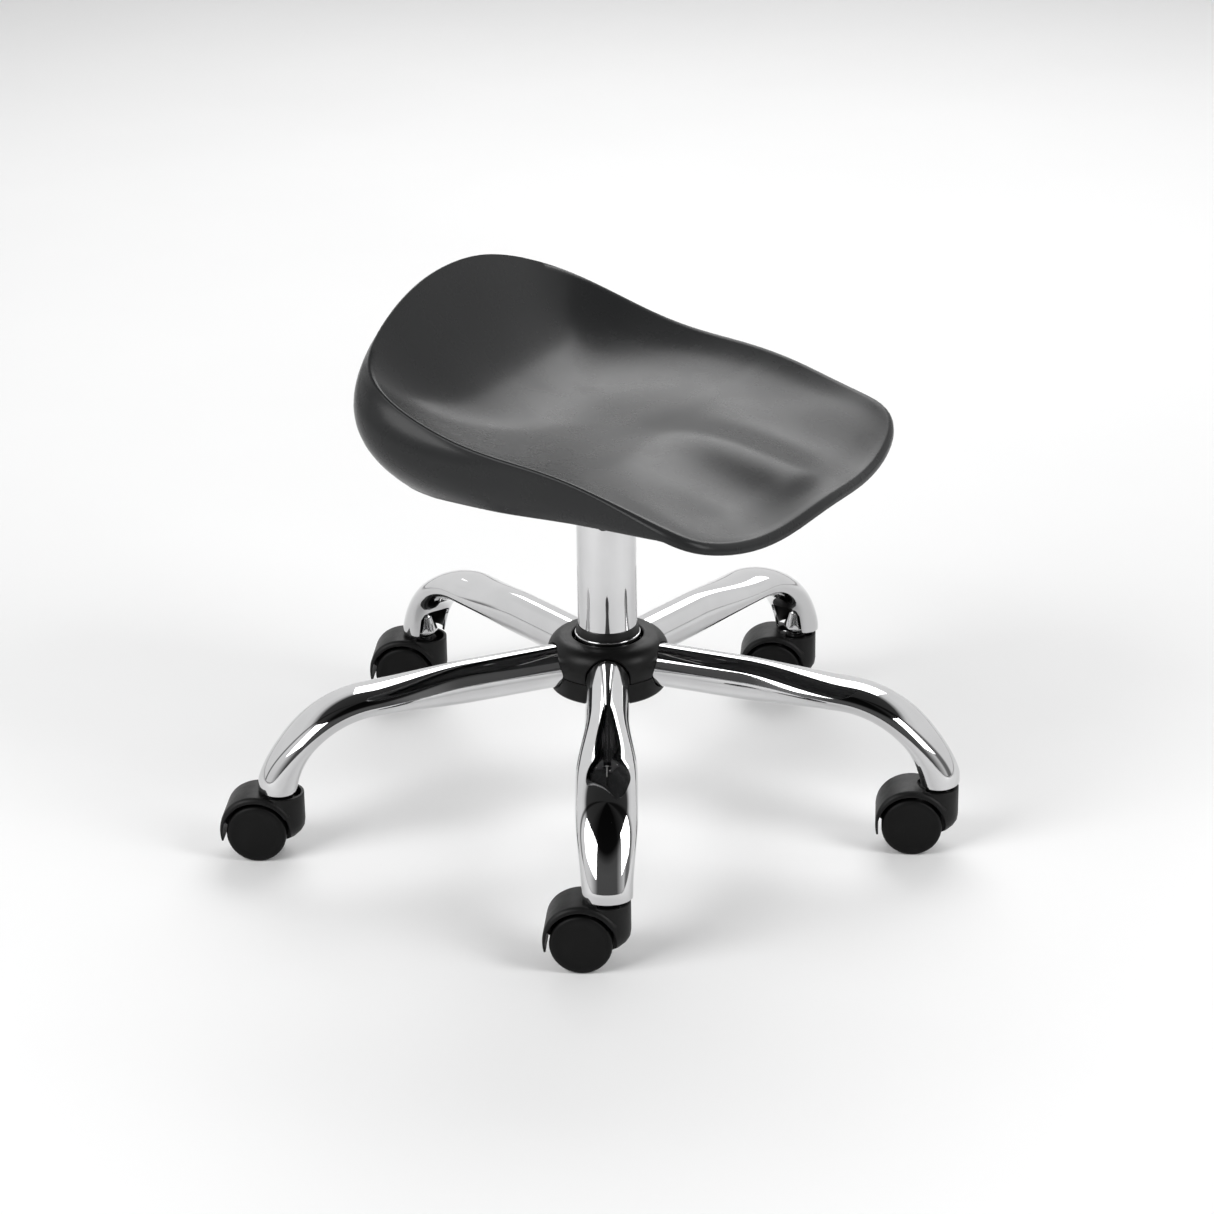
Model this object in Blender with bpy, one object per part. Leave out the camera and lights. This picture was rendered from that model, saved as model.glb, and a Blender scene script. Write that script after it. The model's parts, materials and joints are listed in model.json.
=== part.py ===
"""Adjustable swivel stool: a scooped one-piece seat on a gas lift, over a five-arm base on twin-wheel castors.

Metres, +Z up, floor at z = 0. The origin is the middle of the stool's footprint box. Each moving piece hangs from an
empty on its joint's axis, and the stool stands at its lowest height.
"""

import math

import bmesh
import bpy
from mathutils import Vector

MM = 0.001
GAP = 0.3 * MM  # between pieces that touch
CUT_REACH = 40.0 * MM  # how far a through hole's cutter runs past the middle

# Placement
AXIS_X = 17.3 * MM  # the column's axis, measured from the middle of the footprint box
AXIS_Y = 25.8 * MM
SEAT_YAW = math.radians(-30.7)  # where the seat faces, from +X
TRAIL_YAW = math.radians(176.0)  # where every castor trails
ARM_COUNT = 5
FIRST_ARM = math.radians(-90.0)
ARM_NAMES = ("front", "right", "rear_right", "rear_left", "left")

# Base arms
HUB_RADIUS = 27.8 * MM
HUB_BORE = 25.4 * MM
HUB_BOTTOM = 116.5 * MM
HUB_TOP = 160.5 * MM
ARM_START = HUB_RADIUS + GAP
ARM_Z = 135.8 * MM  # centre line at the hub
ARM_SLOPE = math.radians(2.2)
ARM_BEND_START = 207.0 * MM
ARM_BEND_RADIUS = 88.0 * MM
ARM_BEND_ANGLE = math.radians(76.0)
ARM_END_Z = 60.5 * MM
ARM_WALL = 2.0 * MM
ARM_TUBE = 18.3 * MM  # half the width of the round tube
ARM_OVAL_WIDTH = 24.6 * MM  # half sizes where the tube is flattened
ARM_OVAL_HEIGHT = 12.3 * MM
ARM_FLAT_START = 120.0 * MM
ARM_FLAT_END = 212.0 * MM
ARM_END_WIDTH = 20.3 * MM
ARM_END_DEPTH = 16.8 * MM
ARM_SIDES = 12
WINDOW_HALF = 14.5 * MM  # half width of the opening in the tip's inner side
WINDOW_LOW = 50.0 * MM
WINDOW_INSIDE = 251.0 * MM  # well clear of the tube, on the hub's side
WINDOW_EDGE = ((288.0, 50.0), (287.0, 62.0), (284.0, 72.0), (277.5, 85.0), (270.5, 95.3))  # along the tube's middle
STEM_CIRCLE = 286.0 * MM  # radius of the circle of castor stems
CONE_BOTTOM = 62.0 * MM  # the sleeve in the arm's tip
CONE_TOP = 77.0 * MM
CONE_BASE_RADIUS = 12.4 * MM
CONE_TIP_RADIUS = 7.6 * MM

STEM_DEPTH = 20.0 * MM  # how far the stem reaches into the castor
STEM_TOP = 85.6 * MM
FLANGE_RADIUS = 8.5 * MM
FLANGE_TOP = 61.7 * MM

# Hub covers
COVER_TOP_Z = 157.5 * MM
COVER_SHOULDER_Z = 152.0 * MM
COVER_SEAM_Z = 130.0 * MM
COVER_BOTTOM_Z = 112.0 * MM
COVER_MOUTH = 30.0 * MM
COVER_SHOULDER = 51.5 * MM
COVER_SEAM = 48.0 * MM
COVER_LOWER = 49.0 * MM
COVER_WALL = 2.4 * MM
COVER_FLOOR_HOLE = 12.0 * MM
COVER_WAIST_Z = 145.0 * MM
ARCH_RADIUS = ARM_TUBE + 0.9 * MM
ARCH_Z = ARM_Z - 0.4 * MM
ARCH_START = 20.0 * MM
ARCH_END = 80.0 * MM
COLLAR_TOP = 167.6 * MM

# Column and gas lift
COLUMN_RADIUS = 25.0 * MM
COLUMN_BORE = 23.2 * MM
COLUMN_BOTTOM = 117.5 * MM
COLUMN_TOP = 285.0 * MM
COLUMN_WEB_Z = 125.5 * MM
COLUMN_WEB = 4.0 * MM
BUSH_BOTTOM = 222.0 * MM
WASHER_RADIUS = 12.0 * MM
WASHER_BORE = 6.0 * MM
WASHER_THICK = 1.0 * MM
BEARING_HEIGHT = 4.0 * MM
CLIP_GROOVE_Z = 124.0 * MM  # middle of the clip's groove in the rod
CLIP_GROOVE_HALF = 1.2 * MM
CLIP_HALF = 0.7 * MM
CLIP_SWEEP = math.radians(290.0)
ROD_RADIUS = 5.0 * MM
ROD_BOTTOM = 118.5 * MM
PISTON_Z = 250.0 * MM
PISTON_HEIGHT = 12.0 * MM
CYLINDER_RADIUS = 14.0 * MM
CYLINDER_BORE = 11.6 * MM
CYLINDER_BOTTOM = 147.0 * MM
CYLINDER_TOP = 325.5 * MM
GLAND_HEIGHT = 10.0 * MM
TAPER_Z = 296.0 * MM
CHAMBER_TOP = 290.0 * MM
PIN_HOLE_BOTTOM = 312.0 * MM
TAPER_END = 13.2 * MM
SOCKET_BOTTOM = 293.5 * MM
SOCKET_TOP = 328.0 * MM
SOCKET_RADIUS = 21.0 * MM
PIN_RADIUS = 3.5 * MM
PIN_BOTTOM = 314.6 * MM
PIN_TOP = 331.5 * MM

# Seat plate, screws and release lever
PLATE_Z = 338.0 * MM
PLATE_THICK = 3.0 * MM
PLATE_HALF = 65.0 * MM
SCREW_SPACING = 50.0 * MM  # from the axis, along and across the seat
CHEEK_BOTTOM = 306.0 * MM
CHEEK_THICK = 2.5 * MM
CHEEK_BACK = -40.0 * MM
CHEEK_FRONT = 45.0 * MM
PLATE_CORNER = 12.0 * MM
SCREW_RADIUS = 2.9 * MM
SCREW_HEAD_RADIUS = 5.6 * MM
SCREW_HEAD_HEIGHT = 3.4 * MM
SCREW_BITE = 6.0 * MM
BOSS_RADIUS = 8.0 * MM
CROSS_PIN_RADIUS = 3.0 * MM
CROSS_PIN_HALF = 27.0 * MM
LEVER_YAW = math.radians(-90.0)
LEVER_PIVOT = 30.0 * MM  # out from the column's axis
LEVER_PIVOT_Z = 330.0 * MM
LEVER_LENGTH = 178.0 * MM
LEVER_END_Z = 327.2 * MM
LEVER_EYE = 6.0 * MM
LEVER_EYE_HALF = 9.0 * MM
LEVER_ROD = 3.0 * MM
GRIP_LENGTH = 52.0 * MM
GRIP_RADIUS = 5.2 * MM

# Seat shell, measured forward (x) and left (y) of the column's axis
SEAT_CENTRE = 20.0 * MM  # where the shell's rays start
SEAT_WIDEST = 102.0 * MM
SEAT_FRONT = 209.5 * MM
SEAT_REAR = 154.5 * MM
SEAT_HALF_WIDTH = 173.0 * MM
FRONT_SQUARE = 6.9  # exponents of the plan outline
REAR_SQUARE = 8.3
FRONT_BOW = 19.0 * MM  # how far the corners stand back from the ends' middles
REAR_BOW = 17.0 * MM
FRONT_FLARE = 0.03  # how much wider the ends are than the middle
REAR_FLARE = -0.017
OUTLINE_WARP = 0.4  # draws the rays together at the long rear end
HEADING_LENGTH = 190.0 * MM
RIM_WAVES = (378.5 * MM, -65.7 * MM, 8.8 * MM, -7.8 * MM, 2.5 * MM, 5.1 * MM)  # rim height round the seat
PAN_Z = 351.0 * MM
PAN_FALL = 32.0 * MM  # how far the pan falls to the front edge
PAN_FALL_START = 60.0 * MM
PAN_FALL_LENGTH = 150.0 * MM
PAN_STEEP = 3.4
POMMEL_HEIGHT = 5.5 * MM
POMMEL_HALF_WIDTH = 34.0 * MM
POMMEL_PEAK = 120.0 * MM
POMMEL_END = 150.0 * MM
HOLLOW_DEPTH = 2.2 * MM
HOLLOW_OFFSET = 75.0 * MM
HOLLOW_HALF_WIDTH = 38.0 * MM
HOLLOW_START = 60.0 * MM
HOLLOW_PEAK = 140.0 * MM
SHELL_WALL = 5.0 * MM
SKIRT_WALL = 4.5 * MM
LIP_DEPTH = 9.0 * MM  # least depth of the rolled edge
SKIRT_Z = 320.7 * MM
SKIRT_SLOPE = 0.06
SKIRT_LEVEL_END = -75.0 * MM
SKIRT_BULGE = 1.1 * MM
SKIRT_REAR_BULGE = 12.7 * MM
SKIRT_TUCK = 7.7 * MM
SKIRT_REAR_TUCK = 18.3 * MM
SEAT_SECTORS = 48

# Castors
WHEEL_RADIUS = 25.0 * MM
WHEEL_SIDES = 24
WHEEL_CORNER = WHEEL_RADIUS / math.cos(math.pi / WHEEL_SIDES)  # the tread's flats lie on the wheel's radius
WHEEL_INNER = 7.5 * MM
WHEEL_OUTER = 21.0 * MM
TRAIL = 20.0 * MM
HOOD_RADIUS = 33.0 * MM
HOOD_POCKET = 28.2 * MM
HOOD_HALF_WIDTH = 20.5 * MM
HOOD_WEB = 7.0 * MM  # half the thickness between the wheels
NECK_RADIUS = 18.5 * MM
NECK_TOP = 56.0 * MM
NECK_BOTTOM = 14.0 * MM
NECK_RECESS = 6.0 * MM
STEM_RADIUS = 5.5 * MM
AXLE_HALF = 18.0 * MM
AXLE_RADIUS = 4.0 * MM
RUNNING = 0.3 * MM


def clear_scene():
    for item in list(bpy.data.objects):
        bpy.data.objects.remove(item)


def new_material(name, color, roughness, metallic):
    material = bpy.data.materials.new(name)
    material.use_nodes = True
    shader = material.node_tree.nodes["Principled BSDF"]
    shader.inputs["Base Color"].default_value = (*color, 1.0)
    shader.inputs["Roughness"].default_value = roughness
    shader.inputs["Metallic"].default_value = metallic
    return material


def own_material(name, look):
    color, roughness, metallic = look
    return new_material(name, color, roughness, metallic)


CHROME = ((0.80, 0.80, 0.82), 0.08, 1.0)
STEEL = ((0.55, 0.55, 0.57), 0.35, 1.0)
BLACK_STEEL = ((0.05, 0.05, 0.055), 0.45, 0.6)
SHELL_PLASTIC = ((0.055, 0.055, 0.06), 0.22, 0.0)
COVER_PLASTIC = ((0.03, 0.03, 0.032), 0.45, 0.0)
CASTOR_PLASTIC = ((0.035, 0.035, 0.037), 0.5, 0.0)
WHEEL_PLASTIC = ((0.045, 0.045, 0.048), 0.55, 0.0)
NYLON = ((0.06, 0.06, 0.065), 0.6, 0.0)
RUBBER = ((0.03, 0.03, 0.03), 0.85, 0.0)


def empty(name, parent, location=(0.0, 0.0, 0.0), yaw=0.0):
    item = bpy.data.objects.new(name, None)
    bpy.context.scene.collection.objects.link(item)
    item.parent = parent
    item.location = location
    item.rotation_euler = (0.0, 0.0, yaw)
    return item


def solid(name, mesh_data, look, parent, sharp=35.0):
    """An object from a bmesh, facing out, shaded smooth below the sharp angle."""
    bmesh.ops.recalc_face_normals(mesh_data, faces=mesh_data.faces)
    mesh = bpy.data.meshes.new(name)
    mesh_data.to_mesh(mesh)
    mesh_data.free()
    mesh.shade_smooth()
    mesh.set_sharp_from_angle(angle=math.radians(sharp))
    item = bpy.data.objects.new(name, mesh)
    bpy.context.scene.collection.objects.link(item)
    item.parent = parent
    if look:
        mesh.materials.append(own_material(name, look))
    return item


def cut(item, cutter, operation="DIFFERENCE"):
    cutter.hide_render = True
    cutter.display_type = "WIRE"
    modifier = item.modifiers.new(cutter.name, "BOOLEAN")
    modifier.operation = operation
    modifier.object = cutter
    return item


def turned(profile, sides, start=0.0):
    """A solid of revolution about Z. The (radius, height) outline is closed, or ends on the axis at both ends."""
    shape = bmesh.new()
    rings = []
    for radius, height in profile:
        if radius < 1e-7:
            rings.append([shape.verts.new((0.0, 0.0, height))] * sides)
            continue
        ring = []
        for step in range(sides):
            angle = start + 2 * math.pi * step / sides
            ring.append(shape.verts.new((radius * math.cos(angle), radius * math.sin(angle), height)))
        rings.append(ring)
    on_axis = profile[0][0] < 1e-7 and profile[-1][0] < 1e-7
    pairs = list(zip(rings, rings[1:])) + ([] if on_axis else [(rings[-1], rings[0])])
    for low, high in pairs:
        for step in range(sides):
            after = (step + 1) % sides
            corners = [low[step], low[after], high[after], high[step]]
            unique = list(dict.fromkeys(corners))
            if len(unique) > 2:
                shape.faces.new(unique)
    return shape


def tube_profile(inner, outer, low, high):
    return [(inner, low), (outer, low), (outer, high), (inner, high)]


def rod_profile(radius, low, high):
    return [(0.0, low), (radius, low), (radius, high), (0.0, high)]


def lay_along(shape, direction):
    """Turns a shape's Z axis to a horizontal or other direction."""
    turn = Vector(direction).to_track_quat("Z", "Y").to_matrix().to_4x4()
    bmesh.ops.transform(shape, matrix=turn, verts=shape.verts)
    return shape


def moved(shape, offset):
    bmesh.ops.translate(shape, vec=Vector(offset), verts=shape.verts)
    return shape


def block(low, high):
    shape = bmesh.new()
    bmesh.ops.create_cube(shape, size=1.0)
    size = [b - a for a, b in zip(low, high)]
    middle = [(a + b) / 2 for a, b in zip(low, high)]
    bmesh.ops.scale(shape, vec=size, verts=shape.verts)
    return moved(shape, middle)


def extruded(outline, low, high, lift):
    """A prism from a flat outline: lift(u, v, w) places each corner, with w running from low to high."""
    shape = bmesh.new()
    ends = [[shape.verts.new(lift(u, v, w)) for u, v in outline] for w in (low, high)]
    shape.faces.new(ends[0])
    shape.faces.new(list(reversed(ends[1])))
    count = len(outline)
    for step in range(count):
        after = (step + 1) % count
        shape.faces.new((ends[0][step], ends[0][after], ends[1][after], ends[1][step]))
    return shape


def smooth_step(value, low, high):
    share = min(max((value - low) / (high - low), 0.0), 1.0)
    return share * share * (3 - 2 * share)


def blend(a, b, share):
    return a + (b - a) * share


# ---------------------------------------------------------------- base


def arm_station(share):
    """(centre r, centre z, direction angle below level) along the arm, for share 0 at the hub to 1 at the tip."""
    straight = (ARM_BEND_START - ARM_START) / math.cos(ARM_SLOPE)
    curved = ARM_BEND_RADIUS * (ARM_BEND_ANGLE - ARM_SLOPE)
    along = share * (straight + curved)
    if along <= straight:
        return (
            ARM_START + along * math.cos(ARM_SLOPE),
            ARM_Z - along * math.sin(ARM_SLOPE),
            ARM_SLOPE,
        )
    angle = ARM_SLOPE + (along - straight) / ARM_BEND_RADIUS
    turn_r = ARM_BEND_START - ARM_BEND_RADIUS * math.sin(ARM_SLOPE)
    turn_z = ARM_Z - straight * math.sin(ARM_SLOPE) - ARM_BEND_RADIUS * math.cos(ARM_SLOPE)
    return (
        turn_r + ARM_BEND_RADIUS * math.sin(angle),
        turn_z + ARM_BEND_RADIUS * math.cos(angle),
        angle,
    )


def arm_size(radius_out, angle):
    """Half width and half height of the tube: round by the hub, flattened through the bend, fuller at the tip."""
    flat = smooth_step(radius_out, ARM_FLAT_START, ARM_FLAT_END)
    tip = smooth_step(angle, math.radians(35), ARM_BEND_ANGLE)
    width = blend(blend(ARM_TUBE, ARM_OVAL_WIDTH, flat), ARM_END_WIDTH, tip)
    height = blend(blend(ARM_TUBE, ARM_OVAL_HEIGHT, flat), ARM_END_DEPTH, tip**2)
    return width, height


def arm_ring(share, inset):
    """Points of one section of the tube, in the arm's own frame: x outward, y across, z up."""
    r, z, angle = arm_station(share)
    width, height = arm_size(r, angle)
    ring = []
    for step in range(ARM_SIDES):
        turn = 2 * math.pi * step / ARM_SIDES
        across = (width - inset) * math.cos(turn)
        upward = (height - inset) * math.sin(turn)
        ring.append(
            Vector((r + upward * math.sin(angle), across, z + upward * math.cos(angle)))
        )
    return ring


def arm_mesh():
    shares = [0.0, 0.34, 0.45, 0.55, 0.64, 0.73, 0.82, 0.91, 1.0]
    shape = bmesh.new()
    skins = []
    for inset in (0.0, ARM_WALL):
        rings = []
        for share in shares:
            points = arm_ring(share, inset)
            for point in points:
                if share == 0.0:
                    point.x = ARM_START
                if share == 1.0:
                    point.z = ARM_END_Z
            rings.append([shape.verts.new(point) for point in points])
        skins.append(rings)
    outer, inner = skins
    pairs = list(zip(outer, outer[1:])) + [(outer[-1], inner[-1])]
    pairs += list(zip(reversed(inner), list(reversed(inner))[1:])) + [(inner[0], outer[0])]
    for low, high in pairs:
        for step in range(ARM_SIDES):
            after = (step + 1) % ARM_SIDES
            shape.faces.new((low[step], low[after], high[after], high[step]))
    return shape


def build_arms(root):
    """Steel tube arms. The side of each tip that faces the hub is cut away round the castor socket."""
    outline = [(r * MM, z * MM) for r, z in WINDOW_EDGE]
    outline += [(WINDOW_INSIDE, WINDOW_LOW + 30 * MM), (WINDOW_INSIDE, WINDOW_LOW)]
    for index, name in enumerate(ARM_NAMES):
        yaw = FIRST_ARM + 2 * math.pi * index / ARM_COUNT
        frame = empty(f"arm_frame_{name}", root, yaw=yaw)
        arm = solid(f"arm_{name}", arm_mesh(), CHROME, frame, 50.0)
        opening = extruded(outline, -WINDOW_HALF, WINDOW_HALF, lambda u, v, w: (u, w, v))
        cut(arm, solid(f"cutter_arm_{name}", opening, None, frame))
        build_castor_socket(name, frame)


def build_castor_socket(name, frame):
    """A tapered steel sleeve in the tip of the arm, which holds the castor's stem."""
    bore = STEM_RADIUS + RUNNING
    profile = [
        (bore, CONE_BOTTOM),
        (CONE_BASE_RADIUS, CONE_BOTTOM),
        (CONE_BASE_RADIUS - 0.4 * MM, CONE_BOTTOM + 2.5 * MM),
        (CONE_TIP_RADIUS, CONE_TOP),
        (bore, CONE_TOP),
    ]
    socket = solid(f"castor_socket_{name}", turned(profile, 12), CHROME, frame)
    socket.location = (STEM_CIRCLE, 0.0, 0.0)
    stem_profile = [
        (0.0, NECK_TOP - STEM_DEPTH),
        (STEM_RADIUS, NECK_TOP - STEM_DEPTH),
        (STEM_RADIUS, FLANGE_TOP - 3.5 * MM),
        (FLANGE_RADIUS, FLANGE_TOP - 3.2 * MM),
        (FLANGE_RADIUS, FLANGE_TOP - 0.1 * MM),
        (STEM_RADIUS, FLANGE_TOP),
        (STEM_RADIUS, CONE_TOP + 0.4 * MM),
        (STEM_RADIUS - 1.1 * MM, CONE_TOP + 1.2 * MM),
        (STEM_RADIUS - 0.3 * MM, CONE_TOP + 4 * MM),
        (0.0, STEM_TOP),
    ]
    stem = solid(f"castor_stem_{name}", turned(stem_profile, 8), CHROME, frame)
    stem.location = (STEM_CIRCLE, 0.0, 0.0)


def build_hub(root):
    solid("hub_tube", turned(tube_profile(HUB_BORE, HUB_RADIUS, HUB_BOTTOM, HUB_TOP), 32), CHROME, root)
    collar = [
        (COLUMN_RADIUS + GAP, HUB_TOP + GAP),
        (HUB_RADIUS - 0.6 * MM, HUB_TOP + GAP),
        (HUB_RADIUS - 0.6 * MM, COLLAR_TOP - 4.1 * MM),
        (COLUMN_RADIUS + 1.2 * MM, COLLAR_TOP),
        (COLUMN_RADIUS + GAP, COLLAR_TOP),
    ]
    solid("column_collar", turned(collar, 28), NYLON, root)
    top_outer = [
        (COVER_MOUTH, COVER_TOP_Z - 1.3 * MM),
        (COVER_MOUTH + 2.5 * MM, COVER_TOP_Z + 0.8 * MM),
        (COVER_MOUTH + 6 * MM, COVER_TOP_Z),
        (COVER_SHOULDER - 6.5 * MM, COVER_TOP_Z - 0.7 * MM),
        (COVER_SHOULDER - 2 * MM, COVER_TOP_Z - 2.3 * MM),
        (COVER_SHOULDER, COVER_SHOULDER_Z),
        (COVER_SHOULDER - 0.4 * MM, COVER_WAIST_Z),
        (COVER_SEAM, COVER_SEAM_Z + GAP),
    ]
    top_inner = [
        (COVER_SEAM - COVER_WALL, COVER_SEAM_Z + GAP),
        (COVER_SHOULDER - COVER_WALL - 0.4 * MM, COVER_WAIST_Z),
        (COVER_SHOULDER - COVER_WALL, COVER_SHOULDER_Z - 1.5 * MM),
        (COVER_SHOULDER - 5 * MM, COVER_TOP_Z - 2.8 * MM),
        (COVER_MOUTH, COVER_TOP_Z - 2.8 * MM),
    ]
    top = solid("hub_cover_top", turned(top_outer + top_inner, 28), COVER_PLASTIC, root)
    low_profile = [
        (COVER_FLOOR_HOLE, COVER_BOTTOM_Z),
        (COVER_LOWER - 2.5 * MM, COVER_BOTTOM_Z),
        (COVER_LOWER, COVER_BOTTOM_Z + 2 * MM),
        (COVER_LOWER, COVER_SEAM_Z),
        (COVER_LOWER - COVER_WALL, COVER_SEAM_Z),
        (COVER_LOWER - COVER_WALL, COVER_BOTTOM_Z + COVER_WALL),
        (COVER_FLOOR_HOLE, COVER_BOTTOM_Z + COVER_WALL),
    ]
    low = solid("hub_cover_bottom", turned(low_profile, 28), COVER_PLASTIC, root)
    for index in range(ARM_COUNT):
        yaw = FIRST_ARM + 2 * math.pi * index / ARM_COUNT
        rod = lay_along(turned(rod_profile(ARCH_RADIUS, ARCH_START, ARCH_END), 18), (1.0, 0.0, 0.0))
        arch = solid(f"cutter_hub_{index}", moved(rod, (0.0, 0.0, ARCH_Z)), None, root)
        arch.rotation_euler = (0.0, 0.0, yaw)
        cut(top, arch)
        cut(low, arch)


def build_column(root):
    outer = [
        (ROD_RADIUS + 1 * MM, COLUMN_WEB_Z),
        (COLUMN_BORE, COLUMN_WEB_Z),
        (COLUMN_BORE, COLUMN_BOTTOM),
        (COLUMN_RADIUS, COLUMN_BOTTOM),
        (COLUMN_RADIUS, COLUMN_TOP),
        (COLUMN_BORE, COLUMN_TOP),
        (COLUMN_BORE, COLUMN_WEB_Z + COLUMN_WEB),
        (ROD_RADIUS + 1 * MM, COLUMN_WEB_Z + COLUMN_WEB),
    ]
    solid("column_tube", turned(outer, 32), CHROME, root)
    inner = CYLINDER_RADIUS + RUNNING
    bush = [
        (inner, BUSH_BOTTOM),
        (COLUMN_BORE - GAP, BUSH_BOTTOM),
        (COLUMN_BORE - GAP, COLUMN_TOP + GAP),
        (COLUMN_RADIUS - 0.2 * MM, COLUMN_TOP + GAP),
        (COLUMN_RADIUS - 0.2 * MM, COLUMN_TOP + 3 * MM),
        (inner, COLUMN_TOP + 3.5 * MM),
    ]
    solid("guide_bush", turned(bush, 28), NYLON, root)
    washer_z = COLUMN_WEB_Z + COLUMN_WEB + GAP
    solid(
        "bearing_washer_lower",
        turned(tube_profile(WASHER_BORE, WASHER_RADIUS, washer_z, washer_z + WASHER_THICK), 16),
        STEEL,
        root,
    )
    return washer_z + WASHER_THICK


# ---------------------------------------------------------------- gas lift


def build_spindle(spindle, bearing_z):
    """The piston rod stands on a thrust bearing and turns with the seat."""
    rod = [
        (0.0, ROD_BOTTOM),
        (ROD_RADIUS - 0.6 * MM, ROD_BOTTOM),
        (ROD_RADIUS, ROD_BOTTOM + 0.8 * MM),
        (ROD_RADIUS, CLIP_GROOVE_Z - CLIP_GROOVE_HALF),
        (ROD_RADIUS - 0.9 * MM, CLIP_GROOVE_Z - CLIP_GROOVE_HALF),
        (ROD_RADIUS - 0.9 * MM, CLIP_GROOVE_Z + CLIP_GROOVE_HALF),
        (ROD_RADIUS, CLIP_GROOVE_Z + CLIP_GROOVE_HALF),
        (ROD_RADIUS, PISTON_Z),
        (CYLINDER_BORE - 0.4 * MM, PISTON_Z),
        (CYLINDER_BORE - 0.4 * MM, PISTON_Z + PISTON_HEIGHT),
        (0.0, PISTON_Z + PISTON_HEIGHT),
    ]
    solid("piston_rod", turned(rod, 20), CHROME, spindle)
    clip_steps = 14
    arc = [CLIP_SWEEP * step / clip_steps for step in range(clip_steps + 1)]
    clip_inner = ROD_RADIUS - 0.6 * MM
    clip_outer = ROD_RADIUS + 3 * MM
    outline = [(clip_outer * math.cos(a), clip_outer * math.sin(a)) for a in arc]
    outline += [(clip_inner * math.cos(a), clip_inner * math.sin(a)) for a in reversed(arc)]
    clip = extruded(outline, CLIP_GROOVE_Z - CLIP_HALF, CLIP_GROOVE_Z + CLIP_HALF, lambda u, v, w: (u, v, w))
    solid("retaining_clip", clip, STEEL, spindle)
    ring_z = bearing_z + GAP
    solid(
        "thrust_bearing",
        turned(tube_profile(WASHER_BORE, WASHER_RADIUS - 0.5 * MM, ring_z, ring_z + BEARING_HEIGHT), 16),
        STEEL,
        spindle,
    )
    washer_z = ring_z + BEARING_HEIGHT + GAP
    solid(
        "bearing_washer_upper",
        turned(tube_profile(ROD_RADIUS + GAP, WASHER_RADIUS, washer_z, washer_z + WASHER_THICK), 16),
        STEEL,
        spindle,
    )
    bumper_z = washer_z + WASHER_THICK + GAP
    bumper = [
        (ROD_RADIUS + GAP, bumper_z),
        (WASHER_RADIUS, bumper_z),
        (WASHER_RADIUS + 0.5 * MM, (bumper_z + CYLINDER_BOTTOM) / 2),
        (WASHER_RADIUS - 0.5 * MM, CYLINDER_BOTTOM - GAP),
        (ROD_RADIUS + GAP, CYLINDER_BOTTOM - GAP),
    ]
    solid("rubber_bumper", turned(bumper, 16), RUBBER, spindle)


def build_lift(seat):
    """The pressure cylinder slides in the column and wedges in the seat's tapered socket."""
    pin_bore = PIN_RADIUS + RUNNING
    cylinder = [
        (0.0, CHAMBER_TOP),
        (CYLINDER_BORE, CHAMBER_TOP),
        (CYLINDER_BORE, CYLINDER_BOTTOM),
        (CYLINDER_RADIUS, CYLINDER_BOTTOM),
        (CYLINDER_RADIUS, TAPER_Z),
        (TAPER_END, CYLINDER_TOP),
        (pin_bore, CYLINDER_TOP),
        (pin_bore, PIN_HOLE_BOTTOM),
        (0.0, PIN_HOLE_BOTTOM),
    ]
    solid("gas_cylinder", turned(cylinder, 28), BLACK_STEEL, seat)
    gland = tube_profile(
        ROD_RADIUS + RUNNING,
        CYLINDER_BORE - GAP,
        CYLINDER_BOTTOM + 0.5 * MM,
        CYLINDER_BOTTOM + GLAND_HEIGHT,
    )
    solid("cylinder_gland", turned(gland, 20), NYLON, seat)
    socket = [
        (CYLINDER_RADIUS + GAP, SOCKET_BOTTOM),
        (SOCKET_RADIUS, SOCKET_BOTTOM),
        (SOCKET_RADIUS, SOCKET_TOP),
        (TAPER_END + GAP, SOCKET_TOP),
        (TAPER_END + GAP, CYLINDER_TOP),
        (CYLINDER_RADIUS + GAP, TAPER_Z),
    ]
    solid("taper_socket", turned(socket, 28), BLACK_STEEL, seat)


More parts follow.
